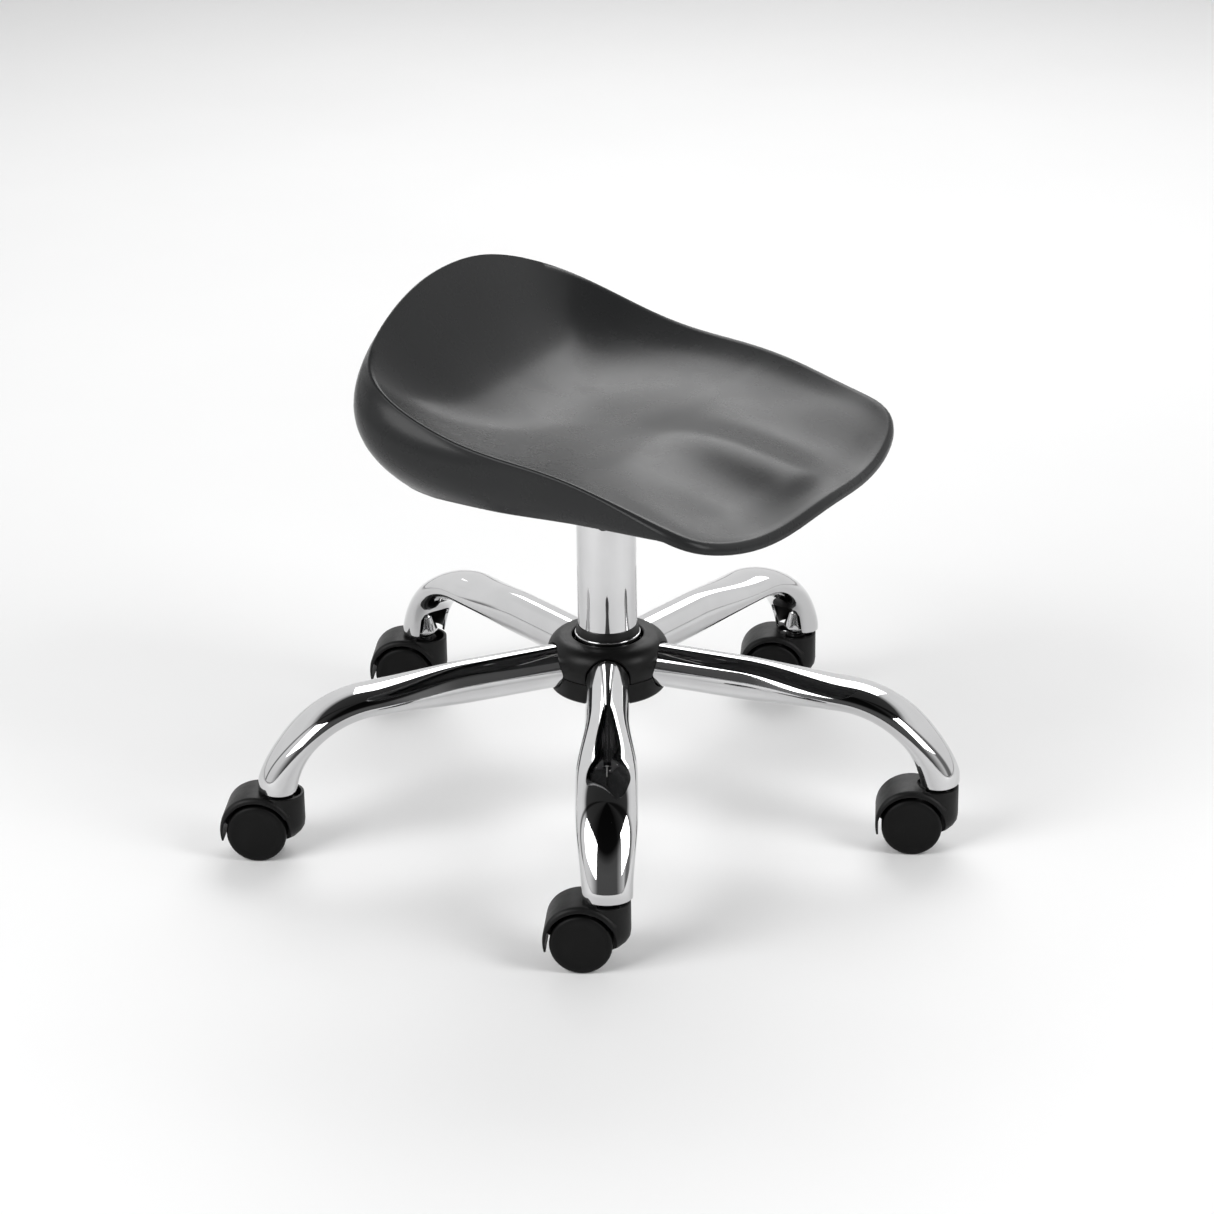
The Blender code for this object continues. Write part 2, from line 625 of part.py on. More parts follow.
def build_seat_plate(seat, lever_yaw):
    """A pressed plate under the shell, with two cheeks down each side of the socket for the lever's pin."""
    corner = PLATE_CORNER
    steps = 4
    outline = []
    for quarter, (sx, sy) in enumerate(((1, 1), (-1, 1), (-1, -1), (1, -1))):
        for step in range(steps + 1):
            turn = math.pi / 2 * (quarter + step / steps)
            outline.append(
                (
                    sx * (PLATE_HALF - corner) + corner * math.cos(turn),
                    sy * (PLATE_HALF - corner) + corner * math.sin(turn),
                )
            )
    top = PLATE_Z + PLATE_THICK
    plate = solid("seat_plate", extruded(outline, PLATE_Z, top, lambda u, v, w: (u, v, w)), BLACK_STEEL, seat)
    inside = SOCKET_RADIUS + GAP
    for side in (-1, 1):
        edges = sorted((side * inside, side * (inside + CHEEK_THICK)))
        cheek = block((CHEEK_BACK, edges[0], CHEEK_BOTTOM), (CHEEK_FRONT, edges[1], PLATE_Z + 1 * MM))
        wall = solid(f"cutter_cheek_{side}", cheek, None, seat)
        wall.rotation_euler = (0.0, 0.0, lever_yaw)
        cut(plate, wall, "UNION")
    hole_profile = rod_profile(CROSS_PIN_RADIUS + RUNNING, -CUT_REACH, CUT_REACH)
    pin_hole = lay_along(turned(hole_profile, 16), (0.0, 1.0, 0.0))
    hole = solid("cutter_pin_hole", moved(pin_hole, (LEVER_PIVOT, 0.0, LEVER_PIVOT_Z)), None, seat)
    hole.rotation_euler = (0.0, 0.0, lever_yaw)
    cut(plate, hole)
    for index, (forward, left) in enumerate(screw_places()):
        shaft = turned(rod_profile(SCREW_RADIUS + 0.5 * MM, PLATE_Z - 5 * MM, top + 5 * MM), 12)
        cut(plate, solid(f"cutter_screw_{index}", moved(shaft, (forward, left, 0.0)), None, seat))
    pin = lay_along(turned(rod_profile(CROSS_PIN_RADIUS, -CROSS_PIN_HALF, CROSS_PIN_HALF), 16), (0.0, 1.0, 0.0))
    pin_item = solid("lever_pin", moved(pin, (LEVER_PIVOT, 0.0, LEVER_PIVOT_Z)), STEEL, seat)
    pin_item.rotation_euler = (0.0, 0.0, lever_yaw)
    return plate


def screw_places():
    return [(SCREW_SPACING * sx, SCREW_SPACING * sy) for sx in (-1, 1) for sy in (-1, 1)]


def build_screws(seat):
    """Dome-headed screws up through the plate into the shell's bosses."""
    head_top = PLATE_Z - GAP
    profile = [
        (0.0, head_top - SCREW_HEAD_HEIGHT),
        (SCREW_HEAD_RADIUS - 2 * MM, head_top - SCREW_HEAD_HEIGHT + 0.3 * MM),
        (SCREW_HEAD_RADIUS - 0.2 * MM, head_top - 1.6 * MM),
        (SCREW_HEAD_RADIUS, head_top),
        (SCREW_RADIUS, head_top),
        (SCREW_RADIUS, PLATE_Z + PLATE_THICK + SCREW_BITE - 1 * MM),
        (0.0, PLATE_Z + PLATE_THICK + SCREW_BITE),
    ]
    for index, (forward, left) in enumerate(screw_places()):
        screw = solid(f"seat_screw_{index + 1}", turned(profile, 12), STEEL, seat)
        screw.location = (forward, left, 0.0)


def build_lever(seat, lever_yaw):
    """A steel lever on a cross pin: its short end presses the release pin, its long end carries the grip."""
    pivot = empty("lever_frame", seat, yaw=lever_yaw)
    arm = empty("lever_axis", pivot, (LEVER_PIVOT, 0.0, LEVER_PIVOT_Z))
    hole_radius = CROSS_PIN_RADIUS + RUNNING
    eye_profile = tube_profile(hole_radius, LEVER_EYE, -LEVER_EYE_HALF, LEVER_EYE_HALF)
    eye = lay_along(turned(eye_profile, 16), (0.0, 1.0, 0.0))
    lever = solid("lever_arm", eye, STEEL, arm)
    finger = block((-(LEVER_PIVOT + 4 * MM), -4 * MM, 1.8 * MM), (-4.2 * MM, 4 * MM, 5.2 * MM))
    cut(lever, solid("cutter_finger", finger, None, arm), "UNION")
    reach = LEVER_LENGTH - LEVER_PIVOT - 8 * MM
    fall = LEVER_END_Z - LEVER_PIVOT_Z
    run = lay_along(turned(rod_profile(LEVER_ROD, 4.5 * MM, reach), 12), (reach, 0.0, fall))
    cut(lever, solid("cutter_rod", run, None, arm), "UNION")
    grip_start = LEVER_LENGTH - LEVER_PIVOT - GRIP_LENGTH
    grip_end = LEVER_LENGTH - LEVER_PIVOT
    grip = [
        (LEVER_ROD + GAP, grip_start),
        (GRIP_RADIUS - 0.8 * MM, grip_start),
        (GRIP_RADIUS, grip_start + 8 * MM),
        (GRIP_RADIUS, grip_end - 5 * MM),
        (GRIP_RADIUS - 1.6 * MM, grip_end),
        (0.0, grip_end + 0.6 * MM),
        (0.0, reach + 1 * MM),
        (LEVER_ROD + GAP, reach + 1 * MM),
    ]
    shape = lay_along(turned_open(grip, 16), (reach, 0.0, fall))
    solid("lever_grip", shape, COVER_PLASTIC, arm)


def turned_open(profile, sides):
    """As turned, for a cap whose outline crosses the axis between two of its points."""
    on_axis = [index for index, (radius, _) in enumerate(profile) if radius < 1e-7]
    turn = on_axis[1]
    return turned(profile[turn:] + profile[: on_axis[0] + 1], sides)


def build_release_pin(seat):
    profile = [
        (0.0, PIN_BOTTOM),
        (PIN_RADIUS, PIN_BOTTOM),
        (PIN_RADIUS, PIN_TOP - 0.6 * MM),
        (PIN_RADIUS - 0.8 * MM, PIN_TOP),
        (0.0, PIN_TOP),
    ]
    solid("release_pin", turned(profile, 12), STEEL, seat)


# ---------------------------------------------------------------- seat shell


def outline_point(angle):
    """(x, y, heading) of the seat's outline in plan: a squared oval with bowed ends."""
    turn = angle + OUTLINE_WARP * math.sin(angle)
    along, across = math.cos(turn), math.sin(turn)
    if along > 0:
        square, reach, bow, flare = FRONT_SQUARE, SEAT_FRONT - SEAT_WIDEST, FRONT_BOW, FRONT_FLARE
    else:
        square, reach, bow, flare = REAR_SQUARE, SEAT_WIDEST + SEAT_REAR, REAR_BOW, REAR_FLARE
    radius = ((abs(along) / reach) ** square + (abs(across) / SEAT_HALF_WIDTH) ** square) ** (-1 / square)
    share = abs(along) * radius / reach
    y = radius * across * (1 + flare * share**2)
    x = SEAT_WIDEST + math.copysign(share * (reach - bow * (y / SEAT_HALF_WIDTH) ** 2), along)
    heading = math.atan2(y / SEAT_HALF_WIDTH, (x - SEAT_CENTRE) / HEADING_LENGTH)
    return x, y, heading


def rim_height(heading):
    return sum(wave * math.cos(order * heading) for order, wave in enumerate(RIM_WAVES))


def pan_height(x, y):
    """The seat's surface away from its rim: level, falling to the front, with a pommel between two leg hollows."""
    fall = PAN_FALL * max((x - PAN_FALL_START) / PAN_FALL_LENGTH, 0.0) ** 1.6
    edge = 1 - smooth_step(x, POMMEL_END, SEAT_FRONT)
    pommel = smooth_step(x, SEAT_CENTRE, POMMEL_PEAK) * math.exp(-((y / POMMEL_HALF_WIDTH) ** 2))
    aside = (abs(y) - HOLLOW_OFFSET) / HOLLOW_HALF_WIDTH
    hollow = smooth_step(x, HOLLOW_START, HOLLOW_PEAK) * math.exp(-(aside**2))
    return PAN_Z - fall + edge * (POMMEL_HEIGHT * pommel - HOLLOW_DEPTH * hollow)


def surface_point(share, angle):
    """A point on the seat's top, for share 0 at the centre to 1 at the rim."""
    rim_x, rim_y, heading = outline_point(angle)
    x = blend(SEAT_CENTRE, rim_x, share)
    y = share * rim_y
    turn_up = rim_height(heading) - pan_height(rim_x, rim_y)
    return Vector((x, y, pan_height(x, y) + turn_up * share**PAN_STEEP))


def height_at(x, y):
    """Height of the seat's top over a place in plan."""
    heading = math.atan2(y, x - SEAT_CENTRE)

    def miss(angle):
        rim_x, rim_y, _ = outline_point(angle)
        return abs(math.remainder(math.atan2(rim_y, rim_x - SEAT_CENTRE) - heading, 2 * math.pi))

    angle = min((2 * math.pi * step / 720 for step in range(720)), key=miss)
    rim_x, rim_y, _ = outline_point(angle)
    return surface_point(math.hypot(x - SEAT_CENTRE, y) / math.hypot(rim_x - SEAT_CENTRE, rim_y), angle).z


def skirt_depth(x, rim_z):
    low = SKIRT_Z + SKIRT_SLOPE * max(x - SKIRT_LEVEL_END, 0.0)
    return max(rim_z - low, LIP_DEPTH)


def outward(angle):
    step = 0.002
    before = Vector(outline_point(angle - step)[:2])
    after = Vector(outline_point(angle + step)[:2])
    along = after - before
    return Vector((along.y, -along.x, 0.0)).normalized()


def skirt_point(share, angle, inset):
    """A point on the skirt, for share 0 at the rim to 1 at the lower edge."""
    rim_x, rim_y, heading = outline_point(angle)
    rim_z = rim_height(heading)
    front, rear = max(math.cos(heading), 0.0), max(-math.cos(heading), 0.0)
    depth = skirt_depth(rim_x, rim_z)
    at_rear = smooth_step(rear, 0.0, 0.8)
    bulge = (SKIRT_BULGE + SKIRT_REAR_BULGE * at_rear) * (1 - smooth_step(front, 0.0, 0.6))
    tuck = (SKIRT_TUCK + SKIRT_REAR_TUCK * at_rear) * (1 - smooth_step(front, 0.2, 0.7))
    edge = Vector((rim_x, rim_y, rim_z - share * depth))
    inward = Vector((SEAT_CENTRE - rim_x, -rim_y, 0.0)).normalized() * tuck * share**3.3
    return edge + outward(angle) * (bulge * math.sin(math.pi * share**0.8) - inset) + inward


def shell_rings():
    """Functions of the angle, ring by ring, from the middle of the top round the edge to the middle underneath."""
    tops = (0.2, 0.4, 0.56, 0.7, 0.82, 0.92, 1.0)
    rings = [lambda a, s=s: surface_point(s, a) for s in tops]
    for share in (0.06, 0.35, 0.7, 1.0):
        rings.append(lambda a, s=share: skirt_point(s, a, -2.0 * MM * (1 - s)))
    rings.append(lambda a: skirt_point(1.0, a, SKIRT_WALL))
    for share in (0.55, 0.2):
        rings.append(lambda a, s=share: under_skirt(s, a))
    for share in (0.9, 0.78, 0.6, 0.35):
        rings.append(lambda a, s=share: surface_point(s, a) - Vector((0.0, 0.0, SHELL_WALL)))
    return rings


def under_skirt(share, angle):
    """The skirt's inner face, kept below the pan's underside where the skirt is shallow."""
    point = skirt_point(share, angle, SKIRT_WALL)
    x, _, heading = outline_point(angle)
    depth = skirt_depth(x, rim_height(heading))
    least = LIP_DEPTH - (1 - share) * 2 * MM
    point.z = min(point.z, skirt_point(0.0, angle, 0.0).z - min(least, depth - 0.5 * MM))
    return point


def shell_mesh():
    shape = bmesh.new()
    angles = [2 * math.pi * (step + 0.5) / SEAT_SECTORS for step in range(SEAT_SECTORS)]
    rings = [[shape.verts.new(ring(angle)) for angle in angles] for ring in shell_rings()]
    middle_top = shape.verts.new((SEAT_CENTRE, 0.0, pan_height(SEAT_CENTRE, 0.0)))
    middle_low = shape.verts.new((SEAT_CENTRE, 0.0, pan_height(SEAT_CENTRE, 0.0) - SHELL_WALL))
    for low, high in zip(rings, rings[1:]):
        for step in range(SEAT_SECTORS):
            after = (step + 1) % SEAT_SECTORS
            shape.faces.new((low[step], low[after], high[after], high[step]))
    for step in range(SEAT_SECTORS):
        after = (step + 1) % SEAT_SECTORS
        shape.faces.new((middle_top, rings[0][after], rings[0][step]))
        shape.faces.new((middle_low, rings[-1][step], rings[-1][after]))
    return shape


def build_shell(seat):
    shell = solid("seat_shell", shell_mesh(), SHELL_PLASTIC, seat, 60.0)
    boss_low = PLATE_Z + PLATE_THICK + GAP
    for index, (forward, left) in enumerate(screw_places()):
        boss_top = height_at(forward, left) - SHELL_WALL / 2
        boss = turned(rod_profile(BOSS_RADIUS, boss_low, boss_top), 12)
        cut(shell, solid(f"cutter_boss_{index}", moved(boss, (forward, left, 0.0)), None, seat), "UNION")
    for index, (forward, left) in enumerate(screw_places()):
        hole = turned(rod_profile(SCREW_RADIUS + GAP, boss_low - 3 * MM, PLATE_Z + PLATE_THICK + SCREW_BITE + 0.6 * MM), 12)
        cut(shell, solid(f"cutter_thread_{index}", moved(hole, (forward, left, 0.0)), None, seat))
    return shell


# ---------------------------------------------------------------- castors


def hood_outline():
    """The fender's side view, x towards the wheel, z up: round the wheel from its low fin to the neck."""
    steps = 8
    first, last = math.radians(-9.0), math.radians(128.0)
    points = []
    for step in range(steps + 1):
        turn = first + (last - first) * step / steps
        points.append((TRAIL + HOOD_RADIUS * math.cos(turn), WHEEL_RADIUS + HOOD_RADIUS * math.sin(turn)))
    points += [(-2 * MM, 40 * MM), (-2 * MM, 12 * MM), (TRAIL, 10 * MM), (TRAIL + 10 * MM, 12 * MM)]
    points += [(TRAIL + 18 * MM, 20 * MM), (TRAIL + 24 * MM, 26 * MM)]
    fin = HOOD_POCKET - 1.7 * MM
    points.append((TRAIL + fin * math.cos(first), WHEEL_RADIUS + fin * math.sin(first)))
    return points


def build_hood(name, castor):
    """A moulded body: fender over both wheels, a web between them, and the neck that takes the stem."""
    body = extruded(hood_outline(), -HOOD_HALF_WIDTH, HOOD_HALF_WIDTH, lambda u, v, w: (u, w, v))
    hood = solid(f"castor_hood_{name}", body, CASTOR_PLASTIC, castor)
    neck = turned(rod_profile(NECK_RADIUS, NECK_BOTTOM, NECK_TOP), 18)
    cut(hood, solid(f"cutter_neck_{name}", neck, None, castor), "UNION")
    for side in (-1, 1):
        pocket = lay_along(turned(rod_profile(HOOD_POCKET, HOOD_WEB, 30 * MM), 18), (0.0, side, 0.0))
        place = (TRAIL, 0.0, WHEEL_RADIUS)
        cut(hood, solid(f"cutter_pocket_{side}_{name}", moved(pocket, place), None, castor))
    chamfer = block((-40 * MM, -30 * MM, -40 * MM), (0.0, 30 * MM, 0.0))
    wedge = solid(f"cutter_wedge_{name}", chamfer, None, castor)
    wedge.location = (-6 * MM, 0.0, 16 * MM)
    wedge.rotation_euler = (0.0, math.radians(35.0), 0.0)
    cut(hood, wedge)
    recess_profile = tube_profile(
        STEM_RADIUS + 4 * MM, NECK_RADIUS - 2.5 * MM, NECK_TOP - NECK_RECESS, NECK_TOP + 5 * MM
    )
    recess = turned(recess_profile, 16)
    cut(hood, solid(f"cutter_recess_{name}", recess, None, castor))
    bore = turned(rod_profile(STEM_RADIUS + RUNNING, NECK_TOP - STEM_DEPTH - 0.4 * MM, NECK_TOP + 5 * MM), 12)
    cut(hood, solid(f"cutter_bore_{name}", bore, None, castor))
    axle_hole = lay_along(turned(rod_profile(AXLE_RADIUS + GAP, -CUT_REACH, CUT_REACH), 10), (0.0, 1.0, 0.0))
    place = (TRAIL, 0.0, WHEEL_RADIUS)
    cut(hood, solid(f"cutter_axle_{name}", moved(axle_hole, place), None, castor))
    return hood


def wheel_profile():
    bore = AXLE_RADIUS + RUNNING
    return [
        (0.0, AXLE_HALF + 0.4 * MM),
        (bore, AXLE_HALF + 0.4 * MM),
        (bore, WHEEL_INNER),
        (WHEEL_CORNER, WHEEL_INNER),
        (WHEEL_CORNER, WHEEL_OUTER - 3 * MM),
        (WHEEL_CORNER - 3 * MM, WHEEL_OUTER),
        (0.0, WHEEL_OUTER - 0.9 * MM),
    ]


def build_castor(name, frame, arm_yaw):
    """A swivelling castor: the fender trails behind the stem and a wheel turns on each side of its web."""
    castor = empty(f"castor_axis_{name}", frame, (STEM_CIRCLE, 0.0, 0.0), TRAIL_YAW - arm_yaw)
    build_hood(name, castor)
    axle = lay_along(turned(rod_profile(AXLE_RADIUS, -AXLE_HALF, AXLE_HALF), 10), (0.0, 1.0, 0.0))
    axle_item = solid(f"castor_axle_{name}", axle, STEEL, castor)
    axle_item.location = (TRAIL, 0.0, WHEEL_RADIUS)
    for side, label in ((1, "left"), (-1, "right")):
        wheel = lay_along(turned(wheel_profile(), WHEEL_SIDES, math.pi / WHEEL_SIDES), (0.0, side, 0.0))
        item = solid(f"wheel_{label}_{name}", wheel, WHEEL_PLASTIC, castor)
        item.location = (TRAIL, 0.0, WHEEL_RADIUS)


def build_castors(root):
    for index, name in enumerate(ARM_NAMES):
        yaw = FIRST_ARM + 2 * math.pi * index / ARM_COUNT
        frame = bpy.data.objects[f"arm_frame_{name}"]
        build_castor(name, frame, yaw)


def main():
    clear_scene()
    root = empty("stool", None, (AXIS_X, AXIS_Y, 0.0))
    build_arms(root)
    build_castors(root)
    build_hub(root)
    bearing_z = build_column(root)
    spindle = empty("spindle_axis", root)
    build_spindle(spindle, bearing_z)
    seat = empty("seat_axis", spindle, yaw=SEAT_YAW)
    lever_yaw = LEVER_YAW - SEAT_YAW
    build_lift(seat)
    build_seat_plate(seat, lever_yaw)
    build_screws(seat)
    build_shell(seat)
    build_lever(seat, lever_yaw)
    build_release_pin(seat)


main()
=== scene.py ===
"""Looks of the adjustable swivel stool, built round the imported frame.

Metres, +Z up. Every piece takes its place from a joint or a node of the frame and rides on that node's body.
"""

import json
import math

import bmesh
import bpy
from mathutils import Matrix, Vector

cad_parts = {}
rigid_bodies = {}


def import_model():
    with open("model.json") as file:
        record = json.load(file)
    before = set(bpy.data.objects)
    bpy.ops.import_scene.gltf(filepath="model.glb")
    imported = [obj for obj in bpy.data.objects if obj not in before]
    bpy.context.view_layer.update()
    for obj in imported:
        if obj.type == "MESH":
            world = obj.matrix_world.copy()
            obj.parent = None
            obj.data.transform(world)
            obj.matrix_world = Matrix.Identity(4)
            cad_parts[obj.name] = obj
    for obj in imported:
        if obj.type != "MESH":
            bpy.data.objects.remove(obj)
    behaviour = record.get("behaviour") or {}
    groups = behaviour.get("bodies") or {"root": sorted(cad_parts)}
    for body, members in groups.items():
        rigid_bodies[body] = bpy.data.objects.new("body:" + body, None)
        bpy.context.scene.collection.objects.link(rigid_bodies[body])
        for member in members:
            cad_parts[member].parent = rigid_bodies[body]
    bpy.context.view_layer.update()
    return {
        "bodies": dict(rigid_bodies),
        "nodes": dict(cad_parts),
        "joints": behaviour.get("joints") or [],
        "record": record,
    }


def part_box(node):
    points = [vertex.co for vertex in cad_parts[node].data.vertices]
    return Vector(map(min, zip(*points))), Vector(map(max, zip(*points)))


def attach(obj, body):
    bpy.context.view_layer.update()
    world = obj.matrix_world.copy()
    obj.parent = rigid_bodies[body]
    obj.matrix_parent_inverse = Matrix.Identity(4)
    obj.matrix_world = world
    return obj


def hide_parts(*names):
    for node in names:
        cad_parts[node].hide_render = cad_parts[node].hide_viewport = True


MM = 0.001
TAU = 2 * math.pi

# Seat shell, measured forward (x) and left (y) of the column's axis
SEAT_YAW = math.radians(-30.7)
SEAT_CENTRE = 20.0 * MM  # where the shell's rays start
SEAT_WIDEST = 102.0 * MM
SEAT_FRONT = 209.5 * MM
SEAT_REAR = 154.5 * MM
SEAT_HALF_WIDTH = 173.0 * MM
FRONT_SQUARE = 6.9  # exponents of the plan outline
REAR_SQUARE = 8.3
FRONT_BOW = 19.0 * MM  # how far the corners stand back from the ends' middles
REAR_BOW = 17.0 * MM
FRONT_FLARE = 0.03  # how much wider the ends are than the middle
REAR_FLARE = -0.017
OUTLINE_WARP = 0.4  # draws the rays together at the long rear end
HEADING_LENGTH = 190.0 * MM
RIM_WAVES = (378.5 * MM, -65.7 * MM, 8.8 * MM, -7.8 * MM, 2.5 * MM, 5.1 * MM)  # rim height round the seat
PAN_Z = 351.0 * MM
PAN_FALL = 32.0 * MM  # how far the pan falls to the front edge
PAN_FALL_START = 60.0 * MM
PAN_FALL_LENGTH = 150.0 * MM
PAN_FALL_POWER = 1.6
PAN_STEEP = 3.4
POMMEL_HEIGHT = 5.5 * MM
POMMEL_HALF_WIDTH = 34.0 * MM
POMMEL_PEAK = 120.0 * MM
HOLLOW_DEPTH = 2.2 * MM
HOLLOW_OFFSET = 75.0 * MM
HOLLOW_HALF_WIDTH = 38.0 * MM
HOLLOW_START = 60.0 * MM
HOLLOW_PEAK = 140.0 * MM
RELIEF_FADE_START = 150.0 * MM  # where the pommel and hollows begin to fade, and where they are gone
RELIEF_FADE_END = 212.0 * MM
SHELL_WALL = 5.0 * MM
SKIRT_WALL = 4.2 * MM
LIP_DEPTH = 9.0 * MM  # least depth of the rolled edge
SKIRT_Z = 320.7 * MM
SKIRT_SLOPE = 0.06
SKIRT_BULGE = 1.1 * MM
SKIRT_REAR_BULGE = 12.7 * MM
SKIRT_TUCK = 7.7 * MM
SKIRT_REAR_TUCK = 18.3 * MM
RIM_ROUND = 2.4 * MM
FRONT_ROUND = 7.0 * MM

# Base arms, measured out from the column's axis
ARM_START = 28.1 * MM
ARM_Z = 135.8 * MM
ARM_SLOPE = math.radians(2.2)
ARM_BEND_START = 207 * MM
ARM_BEND_RADIUS = 88 * MM
ARM_BEND_ANGLE = math.radians(76)
ARM_END_Z = 60.5 * MM
ARM_WALL = 2 * MM
ARM_TUBE = 18.3 * MM
ARM_OVAL_WIDTH = 24.6 * MM
ARM_OVAL_HEIGHT = 12.3 * MM
ARM_END_WIDTH = 20.3 * MM
ARM_END_DEPTH = 16.8 * MM
WINDOW_HALF_ANGLE = math.radians(42)  # half the tube's turn that the tip's opening takes
WINDOW_TOP = math.radians(50)  # bend angles where the opening's arch starts and where its sides run straight
WINDOW_SPRING = math.radians(60)

# Hub covers
COVER_MOUTH = 30 * MM
COVER_SEAM_Z = 130 * MM
COVER_BOTTOM_Z = 112 * MM
COVER_LOWER = 49 * MM
COVER_WALL = 2.4 * MM
ARCH_RADIUS = 19.2 * MM
ARCH_Z = 135.4 * MM

# Castors
WHEEL_RADIUS = 25 * MM
HOOD_RADIUS = 33 * MM
HOOD_POCKET = 28.2 * MM
HOOD_HALF_WIDTH = 20.5 * MM
HOOD_WEB = 7 * MM
NECK_RADIUS = 18.5 * MM
NECK_TOP = 56 * MM
STEM_RADIUS = 5.5 * MM


# ---------------------------------------------------------------- mesh helpers


def smooth_step(value, low, high):
    share = min(max((value - low) / (high - low), 0.0), 1.0)
    return share * share * (3 - 2 * share)


def blend(a, b, share):
    return a + (b - a) * share


def arc(centre, radius, first, last, steps):
    """Points (u, v) along an arc, both ends included; angles in degrees."""
    points = []
    for step in range(steps + 1):
        angle = math.radians(blend(first, last, step / steps))
        points.append((centre[0] + radius * math.cos(angle), centre[1] + radius * math.sin(angle)))
    return points


def mesh_object(name, shape, material, sharp=38.0):
    """An object from a bmesh, facing out, shaded smooth below the sharp angle."""
    bmesh.ops.remove_doubles(shape, verts=shape.verts, dist=1e-6)
    bmesh.ops.recalc_face_normals(shape, faces=shape.faces)
    mesh = bpy.data.meshes.new(name)
    shape.to_mesh(mesh)
    shape.free()
    mesh.shade_smooth()
    mesh.set_sharp_from_angle(angle=math.radians(sharp))
    item = bpy.data.objects.new(name, mesh)
    bpy.context.scene.collection.objects.link(item)
    if material:
        mesh.materials.append(material)
    return item


def skin(shape, rings, around=True, along=False):
    """Faces between rows of vertices: around closes each row, along joins the last row to the first."""
    pairs = list(zip(rings, rings[1:])) + ([(rings[-1], rings[0])] if along else [])
    for low, high in pairs:
        count = len(low)
        for step in range(count if around else count - 1):
            after = (step + 1) % count
            corners = list(dict.fromkeys((low[step], low[after], high[after], high[step])))
            if len(corners) > 2:
                shape.faces.new(corners)


def lathe(profile, sides, wobble=None):
    """A solid of revolution about Z from a (radius, height) outline that is closed or ends on the axis."""
    shape = bmesh.new()
    rings = []
    for radius, height in profile:
        if radius < 1e-7:
            rings.append([shape.verts.new((0.0, 0.0, height))] * sides)
            continue
        ring = []
        for step in range(sides):
            turn = TAU * step / sides
            out = radius + (wobble(turn, height) if wobble else 0.0)
            ring.append(shape.verts.new((out * math.cos(turn), out * math.sin(turn), height)))
        rings.append(ring)
    on_axis = profile[0][0] < 1e-7 and profile[-1][0] < 1e-7
    skin(shape, rings, True, not on_axis)
    return shape


def turned(shape, matrix):
    bmesh.ops.transform(shape, matrix=matrix, verts=shape.verts)
    return shape


def prism(outline, low, high, lift):
    shape = bmesh.new()
    ends = [[shape.verts.new(lift(u, v, w)) for u, v in outline] for w in (low, high)]
    shape.faces.new(ends[0])
    shape.faces.new(list(reversed(ends[1])))
    skin(shape, ends)
    return shape


def rounded(corners, radius, steps=4):
    """A closed outline with each corner replaced by an arc of about this radius."""
    points = []
    count = len(corners)
    for index in range(count):
        before = Vector(corners[index - 1])
        here = Vector(corners[index])
        after = Vector(corners[(index + 1) % count])
        reach = min(radius, (before - here).length * 0.45, (after - here).length * 0.45)
        start = here + (before - here).normalized() * reach
        end = here + (after - here).normalized() * reach
        for step in range(steps + 1):
            t = step / steps
            points.append(tuple(start * (1 - t) ** 2 + here * (2 * t * (1 - t)) + end * t**2))
    return points


def combine(item, cutters):
    """Applies Boolean steps to a piece and removes the cutters."""
    for operation, cutter in cutters:
        modifier = item.modifiers.new(cutter.name, "BOOLEAN")
        modifier.operation = operation
        modifier.object = cutter
    apply_modifiers(item)
    for _, cutter in cutters:
        bpy.data.objects.remove(cutter)
    return item


def apply_modifiers(item):
    bpy.context.view_layer.update()
    graph = bpy.context.evaluated_depsgraph_get()
    mesh = bpy.data.meshes.new_from_object(item.evaluated_get(graph))
    item.modifiers.clear()
    item.data = mesh
    return item


def soften_edges(item, width, angle=40.0, segments=2):
    modifier = item.modifiers.new("soft_edges", "BEVEL")
    modifier.width = width
    modifier.segments = segments
    modifier.limit_method = "ANGLE"
    modifier.angle_limit = math.radians(angle)
    modifier.harden_normals = False
    return item


# ---------------------------------------------------------------- materials


def node(tree, kind, **values):
    item = tree.nodes.new(kind)
    for key, value in values.items():
        setattr(item, key, value)
    return item


def noise(tree, scale, detail=4.0, roughness=0.5):
    place = node(tree, "ShaderNodeTexCoord")
    texture = node(tree, "ShaderNodeTexNoise")
    texture.inputs["Scale"].default_value = scale
    texture.inputs["Detail"].default_value = detail
    texture.inputs["Roughness"].default_value = roughness
    tree.links.new(place.outputs["Object"], texture.inputs["Vector"])
    return texture.outputs["Fac"]


def spread(tree, value, low, high):
    """Maps a 0.3 to 0.7 noise value to low..high."""
    ramp = node(tree, "ShaderNodeMapRange")
    ramp.inputs["From Min"].default_value = 0.3
    ramp.inputs["From Max"].default_value = 0.7
    ramp.inputs["To Min"].default_value = low
    ramp.inputs["To Max"].default_value = high
    tree.links.new(value, ramp.inputs["Value"])
    return ramp.outputs["Result"]


def tint(tree, value, dark, light):
    mix = node(tree, "ShaderNodeMix", data_type="RGBA")
    mix.inputs["A"].default_value = (*dark, 1.0)
    mix.inputs["B"].default_value = (*light, 1.0)
    tree.links.new(value, mix.inputs["Factor"])
    return mix.outputs["Result"]


def bumps(tree, layers):
    """Chains bump nodes; each layer is (height, strength, distance)."""
    normal = None
    for height, strength, distance in layers:
        bump = node(tree, "ShaderNodeBump")
        bump.inputs["Strength"].default_value = strength
        bump.inputs["Distance"].default_value = distance
        tree.links.new(height, bump.inputs["Height"])
        if normal:
            tree.links.new(normal, bump.inputs["Normal"])
        normal = bump.outputs["Normal"]
    return normal


